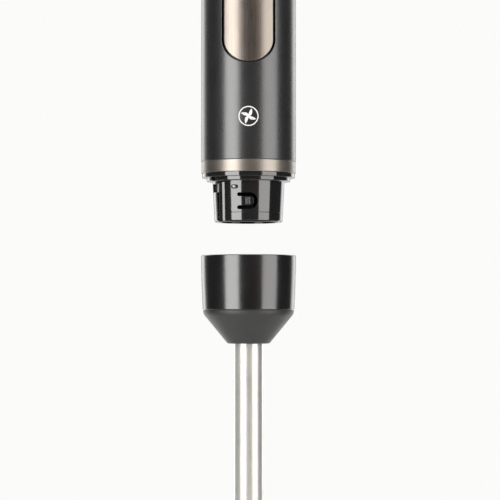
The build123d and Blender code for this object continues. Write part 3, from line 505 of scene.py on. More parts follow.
def thickened(mesh: Shape, offset: Sequence[float]) -> None:
    """Extrudes the faces of a flat mesh by an offset."""
    made = bmesh.ops.extrude_face_region(mesh, geom=mesh.faces[:])
    far = [item for item in made["geom"] if isinstance(item, bmesh.types.BMVert)]
    bmesh.ops.translate(mesh, verts=far, vec=offset)


def turned(outline: Sequence[Corner], segments: int = 256) -> Shape:
    """Turns a closed outline about the Z axis.

    Args:
        outline: Corners of the closed outline, in order.
        segments: Number of steps round the axis.

    Returns:
        The turned solid.
    """
    mesh = bmesh.new()
    points = [mesh.verts.new((corner.radius, 0, corner.height)) for corner in outline]
    for first, second in zip(points, points[1:] + points[:1]):
        mesh.edges.new((first, second))
    for point, corner in zip(points, outline):
        if corner.rounding:
            bmesh.ops.bevel(mesh, geom=[point], offset=corner.rounding, offset_type="OFFSET", segments=4,
                            profile=0.5, affect="VERTICES", material=-1)
    for edge in [edge for edge in mesh.edges if edge.calc_length() > 3 * SUPPORT]:
        length = edge.calc_length()
        near, _ = bmesh.utils.edge_split(edge, edge.verts[0], SUPPORT / length)
        rest = max((near, edge), key=lambda part: part.calc_length())
        bmesh.utils.edge_split(rest, rest.verts[0], 1 - SUPPORT / (length - SUPPORT))
    spun(mesh, mesh.verts[:] + mesh.edges[:], math.tau, segments, True)
    bmesh.ops.remove_doubles(mesh, verts=mesh.verts, dist=1e-5)
    bmesh.ops.recalc_face_normals(mesh, faces=mesh.faces)
    return mesh


def faced(mesh: Shape, azimuth: float) -> Shape:
    """Turns a mesh about the Z axis from the front to an azimuth, and returns it."""
    turn = Matrix.Rotation(math.radians(azimuth), 4, "Z")
    bmesh.ops.transform(mesh, matrix=turn, verts=mesh.verts)
    return mesh


def block(x_range: Sequence[float], y_range: Sequence[float], z_range: Sequence[float]) -> Shape:
    """Makes a block that fills three ranges.

    Args:
        x_range: Lowest and highest x.
        y_range: Lowest and highest y.
        z_range: Lowest and highest z.

    Returns:
        The block.
    """
    mesh = bmesh.new()
    ranges = (x_range, y_range, z_range)
    size = Matrix.Diagonal([high - low for low, high in ranges] + [1])
    middle = Matrix.Translation([(low + high) / 2 for low, high in ranges])
    bmesh.ops.create_cube(mesh, size=1, matrix=middle @ size)
    return mesh


def rod(radius: float, low: float, high: float, segments: int = 64) -> Shape:
    """Makes a rod along the Z axis between two heights."""
    mesh = bmesh.new()
    middle = Matrix.Translation((0, 0, (low + high) / 2))
    bmesh.ops.create_cone(mesh, cap_ends=True, segments=segments, radius1=radius, radius2=radius,
                          depth=high - low, matrix=middle)
    return mesh


def bar(radius: float, place: Sequence[float], depth: float, segments: int) -> Shape:
    """Makes a rod along Y with its middle at a place."""
    mesh = bmesh.new()
    across = Matrix.Translation(place) @ Matrix.Rotation(math.pi / 2, 4, "X")
    bmesh.ops.create_cone(mesh, cap_ends=True, segments=segments, radius1=radius, radius2=radius, depth=depth,
                          matrix=across)
    return mesh


def lying(mesh: Shape) -> Shape:
    """Turns a mesh by a quarter about the Y axis, and returns it."""
    bmesh.ops.rotate(mesh, cent=(0, 0, 0), matrix=Matrix.Rotation(math.pi / 2, 3, "Y"), verts=mesh.verts)
    return mesh


def oval_prism(half_width: float, half_height: float, end: float, depth: Sequence[float],
               segments: int = 128) -> Shape:
    """Makes a prism along Y whose outline is straight at the sides and round at both ends.

    Args:
        half_width: Half the width along x.
        half_height: Half the height along z, round ends included.
        end: Height of one round end.
        depth: Lowest and highest y.
        segments: Number of points of the two ends together.

    Returns:
        The prism, with its middle at height zero.
    """
    mesh = bmesh.new()
    bmesh.ops.create_circle(mesh, cap_ends=True, segments=segments, radius=1,
                            matrix=Matrix.Rotation(math.pi / segments, 4, "Z"))
    for vert in mesh.verts:
        rise = math.copysign(half_height - end, vert.co.y)
        vert.co = (vert.co.x * half_width, depth[0], vert.co.y * end + rise)
    thickened(mesh, (0, depth[1] - depth[0], 0))
    bmesh.ops.recalc_face_normals(mesh, faces=mesh.faces)
    return mesh


def moved(mesh: Shape, offset: Sequence[float]) -> Shape:
    """Moves a mesh by an offset and returns it."""
    bmesh.ops.translate(mesh, verts=mesh.verts, vec=offset)
    return mesh


def wrapped(mesh: Shape, radius: float) -> Shape:
    """Lays a flat mesh on the front of a cylinder about the Z axis, and returns it.

    Args:
        mesh: A mesh in x and z whose y counts outward from the cylinder.
        radius: Radius of the cylinder.
    """
    for vert in mesh.verts:
        angle = math.asin(max(-1.0, min(1.0, vert.co.x / radius)))
        reach = radius + vert.co.y
        vert.co = (reach * math.sin(angle), -reach * math.cos(angle), vert.co.z)
    bmesh.ops.recalc_face_normals(mesh, faces=mesh.faces)
    return mesh


def joined(meshes: Iterable[Shape]) -> Shape:
    """Puts several meshes into one and returns it."""
    whole = bmesh.new()
    for part in meshes:
        scratch = bpy.data.meshes.new("scratch")
        part.to_mesh(scratch)
        part.free()
        whole.from_mesh(scratch)
        bpy.data.meshes.remove(scratch)
    return whole


def carved(body: Shape, cutters: Iterable[Shape], operation: str = "DIFFERENCE") -> Shape:
    """Cuts solids out of a body, or adds them to it.

    Args:
        body: The solid that is worked on.
        cutters: Solids that are taken away, added or kept in common.
        operation: Name of the exact solver's operation.

    Returns:
        The carved solid.
    """
    shapes = [body, *cutters]
    objects = []
    for shape in shapes:
        data = bpy.data.meshes.new("scratch")
        shape.to_mesh(data)
        shape.free()
        objects.append(bpy.data.objects.new("scratch", data))
        bpy.context.scene.collection.objects.link(objects[-1])
    target = objects[0]
    for tool in objects[1:]:
        step = target.modifiers.new("cut", "BOOLEAN")
        step.operation = operation
        step.solver = "EXACT"
        step.object = tool
    graph = bpy.context.evaluated_depsgraph_get()
    result = bpy.data.meshes.new_from_object(target.evaluated_get(graph))
    whole = bmesh.new()
    whole.from_mesh(result)
    bpy.data.meshes.remove(result)
    for item in objects:
        data = item.data
        bpy.data.objects.remove(item)
        bpy.data.meshes.remove(data)
    bmesh.ops.remove_doubles(whole, verts=whole.verts, dist=1e-4)
    bmesh.ops.dissolve_degenerate(whole, edges=whole.edges, dist=1e-4)
    return whole


@dataclass(frozen=True)
class Piece:
    """Visible piece, ready to be dressed and put on its body.

    Attributes:
        name: Name of the object.
        body: CAD body that it moves with.
        slot: Material slot of the record; not used.
        finish: Finish that it is dressed in.
        stands_for: CAD nodes that it stands for.
    """

    name: str
    body: str
    slot: str
    finish: Finish
    stands_for: tuple[str, ...] = ()

    def place(self, mesh: Shape) -> bpy.types.Object:
        """Finishes a mesh in metres and puts it on its body.

        Args:
            mesh: The shape in millimetres; it is freed.

        Returns:
            The new object.
        """
        bmesh.ops.scale(mesh, vec=(MM, MM, MM), verts=mesh.verts)
        for face in mesh.faces:
            face.smooth = True
        for edge in mesh.edges:
            edge.smooth = len(edge.link_faces) == 2 and edge.calc_face_angle(math.pi) < SHARP_ANGLE
        data = bpy.data.meshes.new(self.name)
        mesh.to_mesh(data)
        mesh.free()
        item = bpy.data.objects.new(self.name, data)
        bpy.context.scene.collection.objects.link(item)
        data.materials.append(self.finish.material())
        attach(item, self.body)
        if self.stands_for:
            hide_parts(*self.stands_for)
        log.info("%s: %d faces on %s", self.name, len(data.polygons), self.body)
        return item


# ---------------------------------------------------------------------------------------------
# Motor unit
# ---------------------------------------------------------------------------------------------


@dataclass
class Grip:
    """Grip sleeve with its cap, trigger plate and printed sign.

    Attributes:
        wall: Wall of the sleeve.
        opening_margin: Gap round the trigger plate.
        opening_end: Height of the opening's round ends.
        plate_depth: Thickness of the trigger plate.
        plate_rounding: Rounding of the plate's outer edge.
        cap_flat: Radius of the flat on top of the cap.
        cap_shoulder: Height of the cap's straight edge.
        screw_places: Places of the two cap screws, as x and y.
        counterbore: Radius of the screws' counterbores.
        inlet: Radius of the hole for the cord grommet.
        sign_height: Height of the printed sign's middle.
        print_skin: Depth and rise of the sign's print at the sleeve's surface.
    """

    wall: float = 2.0
    opening_margin: float = 1.0
    opening_end: float = 14.4
    plate_depth: float = 1.6
    plate_rounding: float = 0.035
    cap_flat: float = 17.0
    cap_shoulder: float = 4.0
    screw_places: tuple[tuple[float, float], ...] = ((-15.0, 7.0), (15.0, 7.0))
    counterbore: float = 2.8
    inlet: float = 6.55
    sign_height: float = 25.5
    print_skin: tuple[float, float] = (-0.02, 0.05)
    sleeve: Span = field(init=False)
    cap: Span = field(init=False)
    plate: Span = field(init=False)

    def __post_init__(self) -> None:
        """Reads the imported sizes."""
        self.sleeve = Span.of("grip_sleeve")
        self.cap = Span.of("top_cap")
        self.plate = Span.of("trigger_cover")

    @property
    def plate_middle(self) -> float:
        """Height of the trigger plate's middle."""
        return (self.plate.low + self.plate.high) / 2

    @property
    def plate_half_height(self) -> float:
        """Half the height of the trigger plate."""
        return (self.plate.high - self.plate.low) / 2

    def build_sleeve(self) -> None:
        """Turns the sleeve and cuts the trigger opening."""
        outer, inner = self.sleeve.radius, self.sleeve.radius - self.wall
        shell = turned([Corner(inner, self.sleeve.low), Corner(outer, self.sleeve.low, 0.4),
                        Corner(outer, self.sleeve.high, 0.25), Corner(inner, self.sleeve.high)], 384)
        opening = oval_prism(self.plate.radius + self.opening_margin,
                             self.plate_half_height + self.opening_margin, self.opening_end, (-40, -5))
        shell = carved(shell, [moved(opening, (0, 0, self.plate_middle))])
        Piece("grip_shell", "motor_unit", "graphite_satin", SATIN, ("grip_sleeve",)).place(shell)

    def build_cap(self) -> None:
        """Turns the domed cap with its skirt and sinks the screw seats and the cord inlet."""
        outer, low, top = self.sleeve.radius, self.sleeve.high, self.cap.high
        shoulder = low + self.cap_shoulder
        reach, rise = outer - self.cap_flat, top - shoulder
        dome = arc([(outer, shoulder), (outer, shoulder + ROUND_HANDLE * rise),
                    (self.cap_flat + ROUND_HANDLE * reach, top), (self.cap_flat, top)], 20)
        skirt = outer - self.wall - 0.2
        outline = [Corner(outer, low + 0.05, 0.25), *dome, Corner(self.inlet, top, 0.3),
                   Corner(self.inlet, top - 6.5), Corner(skirt - 2, top - 8), Corner(skirt - 2, low - 8),
                   Corner(skirt, low - 8), Corner(skirt, low + 0.05)]
        cap = turned(outline, 256)
        seats = [moved(rod(self.counterbore, top - 4.8, top + 2), (x, y, 0)) for x, y in self.screw_places]
        Piece("end_cap", "motor_unit", "graphite_satin", SATIN, ("top_cap",)).place(carved(cap, seats))

    def build_plate(self) -> None:
        """Presses the trigger plate: a crowned button, stretched lengthwise and laid on the cylinder."""
        rim = 1 - self.plate_rounding
        rings = [Corner(rim * step / 40, 0) for step in range(41)]
        edge = arc([(rim, 0), (1 - 0.45 * self.plate_rounding, 0), (1, -0.25), (1, -0.55)], 7)[1:]
        outline = rings + edge + [Corner(1, -self.plate_depth), Corner(0, -self.plate_depth)]
        mesh = bmesh.new()
        points = [mesh.verts.new((corner.radius, 0, corner.height)) for corner in outline]
        for first, second in zip(points, points[1:]):
            mesh.edges.new((first, second))
        spun(mesh, mesh.verts[:] + mesh.edges[:], math.tau, 160, True)
        bmesh.ops.remove_doubles(mesh, verts=mesh.verts, dist=1e-5)
        end = self.opening_end - self.opening_margin
        straight = self.plate_half_height - end
        for vert in mesh.verts:
            rise = straight if vert.co.y > -1e-6 else -straight
            height = vert.co.y * end + rise + self.plate_middle
            vert.co = (vert.co.x * self.plate.radius, vert.co.z, height)
        plate = wrapped(mesh, self.sleeve.radius - 0.1)
        Piece("trigger_plate", "trigger", "champagne_metal", CHAMPAGNE, ("trigger_cover",)).place(plate)

    def build_sign(self) -> None:
        """Prints a generic sign above the trim ring: a blade of four wings in a ring."""
        parts = [self.flat_ring(6.0, 5.35), self.flat_ring(1.25, 0.0)]
        for number in range(4):
            wing = bmesh.new()
            bmesh.ops.create_circle(wing, cap_ends=True, segments=24, radius=1)
            for vert in wing.verts:
                vert.co = ((vert.co.x + 1) * 1.75 + 0.9, vert.co.y * 0.85 * (1.15 - 0.4 * vert.co.x), 0)
                vert.co.y += 0.09 * vert.co.x ** 2
            thickened(wing, (0, 0, 0.05))
            parts.append(faced(wing, 45 + 90 * number))
        sign = joined(parts)
        for vert in sign.verts:
            vert.co = (vert.co.x, vert.co.z, vert.co.y + self.sign_height)
        Piece("printed_sign", "motor_unit", "white_plastic", PRINT).place(wrapped(sign, self.sleeve.radius))

    def flat_ring(self, outer: float, inner: float) -> Shape:
        """Makes a thin flat ring or, with no inner radius, a thin disc."""
        low, high = self.print_skin
        return turned([Corner(inner, low), Corner(outer, low), Corner(outer, high), Corner(inner, high)], 72)

    def build(self) -> None:
        """Builds every visible piece of the grip."""
        self.build_sleeve()
        self.build_cap()
        self.build_plate()
        self.build_sign()


@dataclass
class TrimRing:
    """Bright ring under the sleeve.

    Attributes:
        wall: Wall of the ring.
        rounding: Rounding of its outer edges.
    """

    wall: float = 2.0
    rounding: float = 0.35

    def build(self) -> None:
        """Turns the ring."""
        size = Span.of("trim_ring")
        inner = size.radius - self.wall
        ring = turned([Corner(inner, size.low), Corner(size.radius, size.low, self.rounding),
                       Corner(size.radius, size.high, self.rounding), Corner(inner, size.high)], 320)
        Piece("trim_band", "motor_unit", "champagne_metal", CHAMPAGNE_RING, ("trim_ring",)).place(ring)


@dataclass
class Spigot:
    """Glossy spigot with its flanges, bayonet grooves, snap tongue and interlock window.

    Attributes:
        flange_height: Height of the wide flange under the trim ring.
        stop_height: Height of the stop flange.
        stop_step: Step from the wide flange's radius to the stop flange's.
        radius: Radius at the top of the tapered wall.
        taper: Drop of the radius down to the lower end.
        bore: Inner radius of the wall.
        chamfer: Chamfer of the lower edge.
        seal_bore: Radius of the hole for the shaft seal.
        groove_azimuth: Azimuth of the first entry groove.
        groove_width: Width of an entry groove.
        groove_floor: Radius at the floor of the grooves.
        channel: Drop of the lock channel's two edges below the stop flange.
        channel_arc: Azimuths over which a channel runs, from its groove.
        lip_azimuth: Azimuth of the guide lip beside an entry groove.
        lip_facing: Turn of the lip's face towards the front, degrees.
        lip_size: Width of the lip and how far it stands proud.
        tongue_azimuth: Azimuth of the snap tongue.
        tongue_drop: Drop of the tongue's middle below the stop flange.
        tongue_size: Width and height of the slot round the tongue.
        tongue_slot: Width of the slot.
        ridge_azimuth: Azimuth of the ridges on the tongue.
        ridge_size: Radius, pitch and height of the ridges.
        window_azimuth: Azimuth of the interlock window.
        window_drop: Drop of its middle below the stop flange.
        window_size: Width and height of the window.
        window_depth: Depth of the window.
        pin_bore: Radius of the interlock pin's hole.
        reach: Depth of the cutters for the tongue's slot.
        neck: Radius of the neck inside the trim ring.
        seam_drop: Drop of the mould seam below the stop flange.
    """

    flange_height: float = 2.7
    stop_height: float = 2.2
    stop_step: float = 2.8
    radius: float = 22.0
    taper: float = 1.2
    bore: float = 17.8
    chamfer: float = 0.8
    seal_bore: float = 8.0
    groove_azimuth: float = -54.5
    groove_width: float = 5.6
    groove_floor: float = 19.9
    channel: tuple[float, float] = (1.8, 6.8)
    channel_arc: tuple[float, float] = (-27.3, 7.3)
    lip_azimuth: float = -43.5
    lip_facing: float = 22.0
    lip_size: tuple[float, float] = (1.5, 0.3)
    tongue_azimuth: float = 0.0
    tongue_drop: float = 12.5
    tongue_size: tuple[float, float] = (11.3, 10.1)
    tongue_slot: float = 2.3
    ridge_azimuth: float = -1.0
    ridge_size: tuple[float, float, float] = (0.35, 1.0, 4.2)
    window_azimuth: float = -22.6
    window_drop: float = 3.9
    window_size: tuple[float, float] = (4.4, 2.4)
    window_depth: float = 4.6
    pin_bore: float = 0.81
    reach: float = 8.5
    neck: float = 26.8
    seam_drop: float = 19.2
    size: Span = field(init=False)
    ring_low: float = field(init=False)

    def __post_init__(self) -> None:
        """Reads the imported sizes."""
        self.size = Span.of("spigot_housing")
        self.ring_low = Span.of("trim_ring").low

    @property
    def stop_low(self) -> float:
        """Height of the stop flange's underside."""
        return self.ring_low - self.flange_height - self.stop_height

    def wall_radius(self, drop: float) -> float:
        """Radius of the tapered wall at a drop below the stop flange."""
        return self.radius - self.taper * drop / (self.stop_low - self.size.low)

    def body(self) -> Shape:
        """Turns the neck, flanges, deck and tapered wall."""
        flange, stop = self.size.radius, self.size.radius - self.stop_step
        stop_top = self.ring_low - self.flange_height
        low, neck = self.size.low, self.neck
        seam = self.stop_low - self.seam_drop
        seam_radius = self.wall_radius(self.seam_drop)
        return turned([
            Corner(self.seal_bore, self.stop_low, 0.3), Corner(self.bore, self.stop_low),
            Corner(self.bore, low, 0.3),
            Corner(self.radius - self.taper - self.chamfer, low, 0.12),
            Corner(self.radius - self.taper, low + self.chamfer, 0.3),
            Corner(seam_radius, seam - 0.15, 0.06), Corner(seam_radius - 0.3, seam - 0.1),
            Corner(seam_radius - 0.3, seam + 0.1), Corner(seam_radius, seam + 0.15, 0.06),
            Corner(self.radius, self.stop_low, 0.3), Corner(stop, self.stop_low, 0.35),
            Corner(stop, stop_top), Corner(flange, stop_top, 0.35), Corner(flange, self.ring_low, 0.2),
            Corner(neck, self.ring_low), Corner(neck, self.size.high, 0.3), Corner(neck - 2, self.size.high),
            Corner(neck - 2, self.stop_low + 3), Corner(self.seal_bore, self.stop_low + 3)], 384)

    def groove_cutters(self, azimuth: float) -> list[Shape]:
        """Makes the solids that cut one entry groove, its notch and its lock channel.

        Args:
            azimuth: Azimuth of the entry groove.

        Returns:
            The cutters, turned to the azimuth.
        """
        half, reach = self.groove_width / 2, self.size.radius + 2
        high, low = self.stop_low - self.channel[0], self.stop_low - self.channel[1]
        entry = carved(block((-half, half), (-reach, -10), (self.size.low - 1, high)),
                       [rod(self.groove_floor, self.size.low - 2, high + 1, 256)])
        stop_top = self.ring_low - self.flange_height - 0.01
        notch = block((-half, half), (-reach, -22.6), (self.stop_low - 0.5, stop_top))
        start, end = (math.radians(part - 90) for part in self.channel_arc)
        channel = bmesh.new()
        corners = [(self.groove_floor, low), (reach, low), (reach, high), (self.groove_floor, high)]
        points = [channel.verts.new((radius * math.cos(start), radius * math.sin(start), height))
                  for radius, height in corners]
        face = channel.faces.new(points)
        spun(channel, [face, *face.edges, *face.verts], end - start, 48, False)
        bmesh.ops.holes_fill(channel, edges=channel.edges)
        bmesh.ops.recalc_face_normals(channel, faces=channel.faces)
        return [faced(part, azimuth) for part in (entry, notch, channel)]

    def tongue_outline(self, reach: float, left: float) -> Shape:
        """Makes a prism that is straight to the left and round to the right.

        Args:
            reach: Half the height, and the radius of the round end.
            left: Lowest x.

        Returns:
            The prism, through the wall at height zero.
        """
        prism = bmesh.new()
        bmesh.ops.create_circle(prism, cap_ends=True, segments=64, radius=reach)
        centre = (self.tongue_size[0] - self.tongue_size[1]) / 2
        for vert in prism.verts:
            x = left if vert.co.x < -1e-4 else vert.co.x + centre
            vert.co = (x, -self.radius - 3, vert.co.y)
        thickened(prism, (0, self.reach, 0))
        bmesh.ops.recalc_face_normals(prism, faces=prism.faces)
        return prism

    def tongue_cutters(self) -> list[Shape]:
        """Makes the U-shaped slot round the snap tongue, with round ends at its root."""
        width, height = self.tongue_size
        slot, left, reach = self.tongue_slot, -width / 2, height / 2
        frame = carved(self.tongue_outline(reach, left), [self.tongue_outline(reach - slot, left - 1)])
        parts = [frame]
        for side in (-1, 1):
            place = (left, self.reach / 2 - self.radius - 3, side * (reach - slot / 2))
            parts.append(bar(slot / 2 - 0.01, place, self.reach, 32))
        middle = self.stop_low - self.tongue_drop
        return [faced(moved(part, (0, 0, middle)), self.tongue_azimuth) for part in parts]

    def lip(self, turn: float) -> Shape:
        """Makes the guide lip beside an entry groove.

        Args:
            turn: Turn of the groove about the axis, degrees.

        Returns:
            The lip, tapered like the wall.
        """
        width, stand = self.lip_size
        low, high = self.size.low + 0.5, self.stop_low - 1.0
        lip = block((-width / 2, width / 2), (-stand, 1.5), (low, high))
        for vert in lip.verts:
            vert.co.y -= self.wall_radius(self.stop_low - vert.co.z)
        spin = Matrix.Rotation(math.radians(self.lip_facing), 3, "Z")
        bmesh.ops.rotate(lip, cent=(0, -self.radius, 0), matrix=spin, verts=lip.verts)
        return faced(lip, self.lip_azimuth + turn)

    def ridges(self) -> list[Shape]:
        """Makes the three finger ridges on the tongue."""
        radius, pitch, height = self.ridge_size
        middle = self.stop_low - self.tongue_drop
        wall = self.wall_radius(self.tongue_drop)
        parts = []
        for number in (-1, 0, 1):
            ridge = rod(radius, middle - height / 2, middle + height / 2, 24)
            parts.append(faced(moved(ridge, (number * pitch, -wall, 0)), self.ridge_azimuth))
        return parts

    def build(self) -> None:
        """Carves the spigot and places it."""
        cutters: list[Shape] = []
        for turn in (0, 180):
            cutters += self.groove_cutters(self.groove_azimuth + turn)
        width, height = self.window_size
        middle = self.stop_low - self.window_drop
        depth = (-self.radius - 2, -self.radius + self.window_depth)
        window = moved(lying(oval_prism(height / 2, width / 2, height / 2, depth, 32)), (0, 0, middle))
        pin_hole = bar(self.pin_bore, (0, -self.radius, middle), 16, 32)
        cutters += [faced(window, self.window_azimuth), faced(pin_hole, self.window_azimuth)]
        shell = carved(self.body(), cutters + self.tongue_cutters())
        shell = carved(shell, [*self.ridges(), self.lip(0), self.lip(180)], "UNION")
        Piece("spigot_shell", "motor_unit", "black_gloss", GLOSS, ("spigot_housing",)).place(shell)


# ---------------------------------------------------------------------------------------------
# Leg
# ---------------------------------------------------------------------------------------------


@dataclass
class Cup:
    """Collar and cone of the leg, and the shaft tube.

    Attributes:
        draft: Drop of the collar's radius down its length.
        collar_wall: Wall of the collar at its lower end.
        cone_end: Radius of the cone's lower end.
        cone_wall: Wall of the cone.
        cone_shoulder: Height of the cone's upright edge under the collar.
        tube_wall: Wall of the shaft tube.
    """

    draft: float = 1.0
    collar_wall: float = 1.7
    cone_end: float = 12.8
    cone_wall: float = 3.0
    cone_shoulder: float = 2.0
    tube_wall: float = 0.8

    def build_collar(self) -> None:
        """Turns the collar with its slight barrel shape."""
        size = Span.of("leg_collar")
        low_radius = size.radius - self.draft
        bore = low_radius - self.collar_wall
        length = size.high - size.low
        side = arc([(size.radius, size.high - 0.45), (size.radius - 0.05, size.high - length * 0.35),
                    (low_radius + 0.45, size.low + length * 0.3), (low_radius, size.low + 0.3)], 18)
        outline = [Corner(bore, size.high, 0.4), Corner(size.radius - 0.35, size.high, 0.1), *side,
                   Corner(low_radius - 0.3, size.low), Corner(bore, size.low)]
        Piece("collar_shell", "leg", "black_gloss", CUP_GLOSS, ("leg_collar",)).place(turned(outline, 320))

    def build_cone(self) -> None:
        """Turns the cone with its bore for the tube."""
        collar, cone, tube = Span.of("leg_collar"), Span.of("leg_cone"), Span.of("shaft_tube")
        top_radius = collar.radius - self.draft
        shoulder = collar.low - 0.3
        plug = top_radius - self.collar_wall - 0.05
        bore = tube.radius + 0.05
        outline = [Corner(bore, cone.low, 0.3), Corner(self.cone_end, cone.low, 0.7),
                   Corner(top_radius - 0.15, shoulder - self.cone_shoulder, 0.8 * self.cone_shoulder),
                   Corner(top_radius - 0.3, shoulder, 0.1),
                   Corner(plug, shoulder), Corner(plug, cone.high), Corner(plug - self.cone_wall, cone.high),
                   Corner(plug - self.cone_wall, collar.low), Corner(bore + 4.5, cone.low + 9),
                   Corner(bore + 2.2, cone.low + 9), Corner(bore + 2.2, tube.high - 1),
                   Corner(bore, tube.high - 1)]
        Piece("cone_shell", "leg", "black_matte", MATTE, ("leg_cone",)).place(turned(outline, 256))

    def build_tube(self) -> None:
        """Turns the shaft tube with softly broken ends."""
        size = Span.of("shaft_tube")
        inner = size.radius - self.tube_wall
        outline = [Corner(inner, size.low, 0.2), Corner(size.radius, size.low, 0.25),
                   Corner(size.radius, size.high, 0.25), Corner(inner, size.high, 0.2)]
        Piece("tube_sheath", "leg", "brushed_tube", TUBE_STEEL, ("shaft_tube",)).place(turned(outline, 192))

    def build(self) -> None:
        """Builds the collar, cone and tube."""
        self.build_collar()
        self.build_cone()
        self.build_tube()


@dataclass
class Bell:
    """Bell guard and the hub that holds it on the tube.

    Attributes:
        crown: Radius of the bell's flat crown.
        wall: Wall of the bell.
        bore: Radius of the hole for the hub.
        window_drop: Drop of the windows' middle below the crown.
        window_size: Width and height of a window.
        scallop_radius: Radius of the scallops in the rim.
        scallop_rise: Height of the scallops.
    """

    crown: float = 13.5
    wall: float = 1.2
    bore: float = 9.55
    window_drop: float = 19.0
    window_size: tuple[float, float] = (20.0, 7.0)
    scallop_radius: float = 9.0
    scallop_rise: float = 5.0
    size: Span = field(init=False)

    def __post_init__(self) -> None:
        """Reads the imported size."""
        self.size = Span.of("bell_guard")

    def side(self, inset: float) -> list[Corner]:
        """Draws the dome's side from the crown to the rim, drawn in by an inset."""
        top, low, reach = self.size.high, self.size.low, self.size.radius
        return arc([(self.crown - 0.3 * inset, top - inset), (24.5 - 0.5 * inset, top - 1.5 - inset),
                    (reach + 0.3 - inset, top - 14 - inset / 2), (reach - inset, low + 0.3)], 28)

    def scallop(self, azimuth: float) -> Shape:
        """Makes the round bar that cuts one scallop of the rim."""
        place = (0, -self.size.radius, self.size.low - self.scallop_radius + self.scallop_rise)
        return faced(bar(self.scallop_radius, place, self.size.radius, 96), azimuth)

    def build_guard(self) -> None:
        """Turns the bell and cuts its windows and scallops."""
        low, reach = self.size.low, self.size.radius
        inner = list(reversed(self.side(self.wall)))
        outline = [*self.side(0), Corner(reach - 0.3, low), Corner(reach - self.wall + 0.3, low), *inner,
                   Corner(self.bore, self.size.high - self.wall), Corner(self.bore, self.size.high)]
        half_width, half_height = (part / 2 for part in self.window_size)
        cutters: list[Shape] = []
        for number in range(4):
            window = lying(oval_prism(half_height, half_width, half_height, (-reach - 4, -self.crown), 64))
            moved(window, (0, 0, self.size.high - self.window_drop))
            cutters += [faced(window, 90 * number), self.scallop(90 * number + 45)]
        bell = carved(turned(outline, 320), cutters)
        Piece("bell_shell", "leg", "brushed_tube", BELL_STEEL, ("bell_guard",)).place(bell)

    def build_hub(self) -> None:
        """Turns the hub that flares from the tube onto the bell and carries the lower bush."""
        hub, tube = Span.of("bell_hub"), Span.of("shaft_tube")
        top, seat = self.size.high, tube.radius + 0.05
        flare = arc([(hub.radius, top + 1.6), (hub.radius - 1.6, top + 3.2),
                     (seat + 1.4, top + 4.6), (seat + 1.2, hub.high)], 12)
        outline = [Corner(hub.radius, top + 0.05, 0.3), *flare, Corner(seat, hub.high, 0.2),
                   Corner(seat, tube.low - 0.05), Corner(5.5, tube.low - 1.5), Corner(5.5, hub.low, 0.3),
                   Corner(9.5, hub.low, 0.5), Corner(9.5, top - 3.6), Corner(11.7, top - 3.6, 0.3),
                   Corner(11.7, top - 1.25), Corner(9.5, top - 1.25), Corner(9.5, top + 0.05)]
        Piece("hub_shell", "leg", "black_matte", MATTE, ("bell_hub",)).place(turned(outline, 192))

    def build(self) -> None:
        """Builds the bell and its hub."""
        self.build_guard()
        self.build_hub()


@dataclass
class Blade:
    """Two-winged cutting blade.

    Attributes:
        hub: Radius of the blade's hub.
        width: Width of a wing at the hub.
        thickness: Thickness of the sheet.
        pitch: Bend of the wings, one up and one down, degrees.
        bend: Distance of the bend from the axis.
        grind: Width of the ground cutting edge.
        bore: Radius of the hole for the drive shaft.
        drop: Drop of the blade's upper face below the bell's hub.
    """

    hub: float = 5.8
    width: float = 9.0
    thickness: float = 1.2
    pitch: float = 14.0
    bend: float = 5.0
    grind: float = 1.5
    bore: float = 3.0
    drop: float = 4.0

    def wing(self, reach: float, top: float, turn: float, pitch: float) -> Shape:
        """Cuts one wing, grinds its leading edge and bends it.

        Args:
            reach: Distance of the wing's tip from the axis.
            top: Height of the sheet's upper face.
            turn: Direction of the wing, degrees.
            pitch: Bend of the wing, degrees.

        Returns:
            The wing in place.
        """
        half = self.width / 2
        mesh = bmesh.new()
        outline = [(self.bend, -half + 0.3), (reach - 4, -half + 1.2), (reach - 1.4, 0), (reach, half - 1.5),
                   (reach - 3, half), (self.bend, half - 0.45)]
        mesh.faces.new([mesh.verts.new((x, y, 0)) for x, y in outline])
        thickened(mesh, (0, 0, self.thickness))
        bmesh.ops.recalc_face_normals(mesh, faces=mesh.faces)
        edges = [edge for edge in mesh.edges if all(v.co.z > 0.5 and v.co.y < 0.1 for v in edge.verts)
                 and not all(abs(v.co.x - self.bend) < 0.01 for v in edge.verts)]
        bmesh.ops.bevel(mesh, geom=edges, offset=self.grind, offset_type="WIDTH", segments=1, profile=0.5,
                        affect="EDGES", clamp_overlap=False, material=-1)
        tilt = Matrix.Translation((self.bend, 0, 0)) @ Matrix.Rotation(math.radians(pitch), 4, "Y")
        tilt = tilt @ Matrix.Translation((-self.bend, 0, 0))
        place = Matrix.Translation((0, 0, top - self.thickness)) @ Matrix.Rotation(math.radians(turn), 4, "Z")
        bmesh.ops.transform(mesh, matrix=place @ tilt, verts=mesh.verts)
        return mesh

    def build(self) -> None:
        """Builds the hub disc and both wings."""
        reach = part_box("blade")[1].x / MM
        top = Span.of("bell_hub").low - self.drop
        disc = turned([Corner(self.bore, top - self.thickness), Corner(self.hub, top - self.thickness, 0.15),
                       Corner(self.hub, top, 0.15), Corner(self.bore, top)], 96)
        wings = [self.wing(reach, top, 0, self.pitch), self.wing(reach, top, 180, -self.pitch)]
        blade = joined([disc, *wings])
        Piece("cutting_blade", "drive_line", "bright_steel", BLADE_STEEL, ("blade",)).place(blade)


# ---------------------------------------------------------------------------------------------
# Carried-over pieces and the studio
# ---------------------------------------------------------------------------------------------


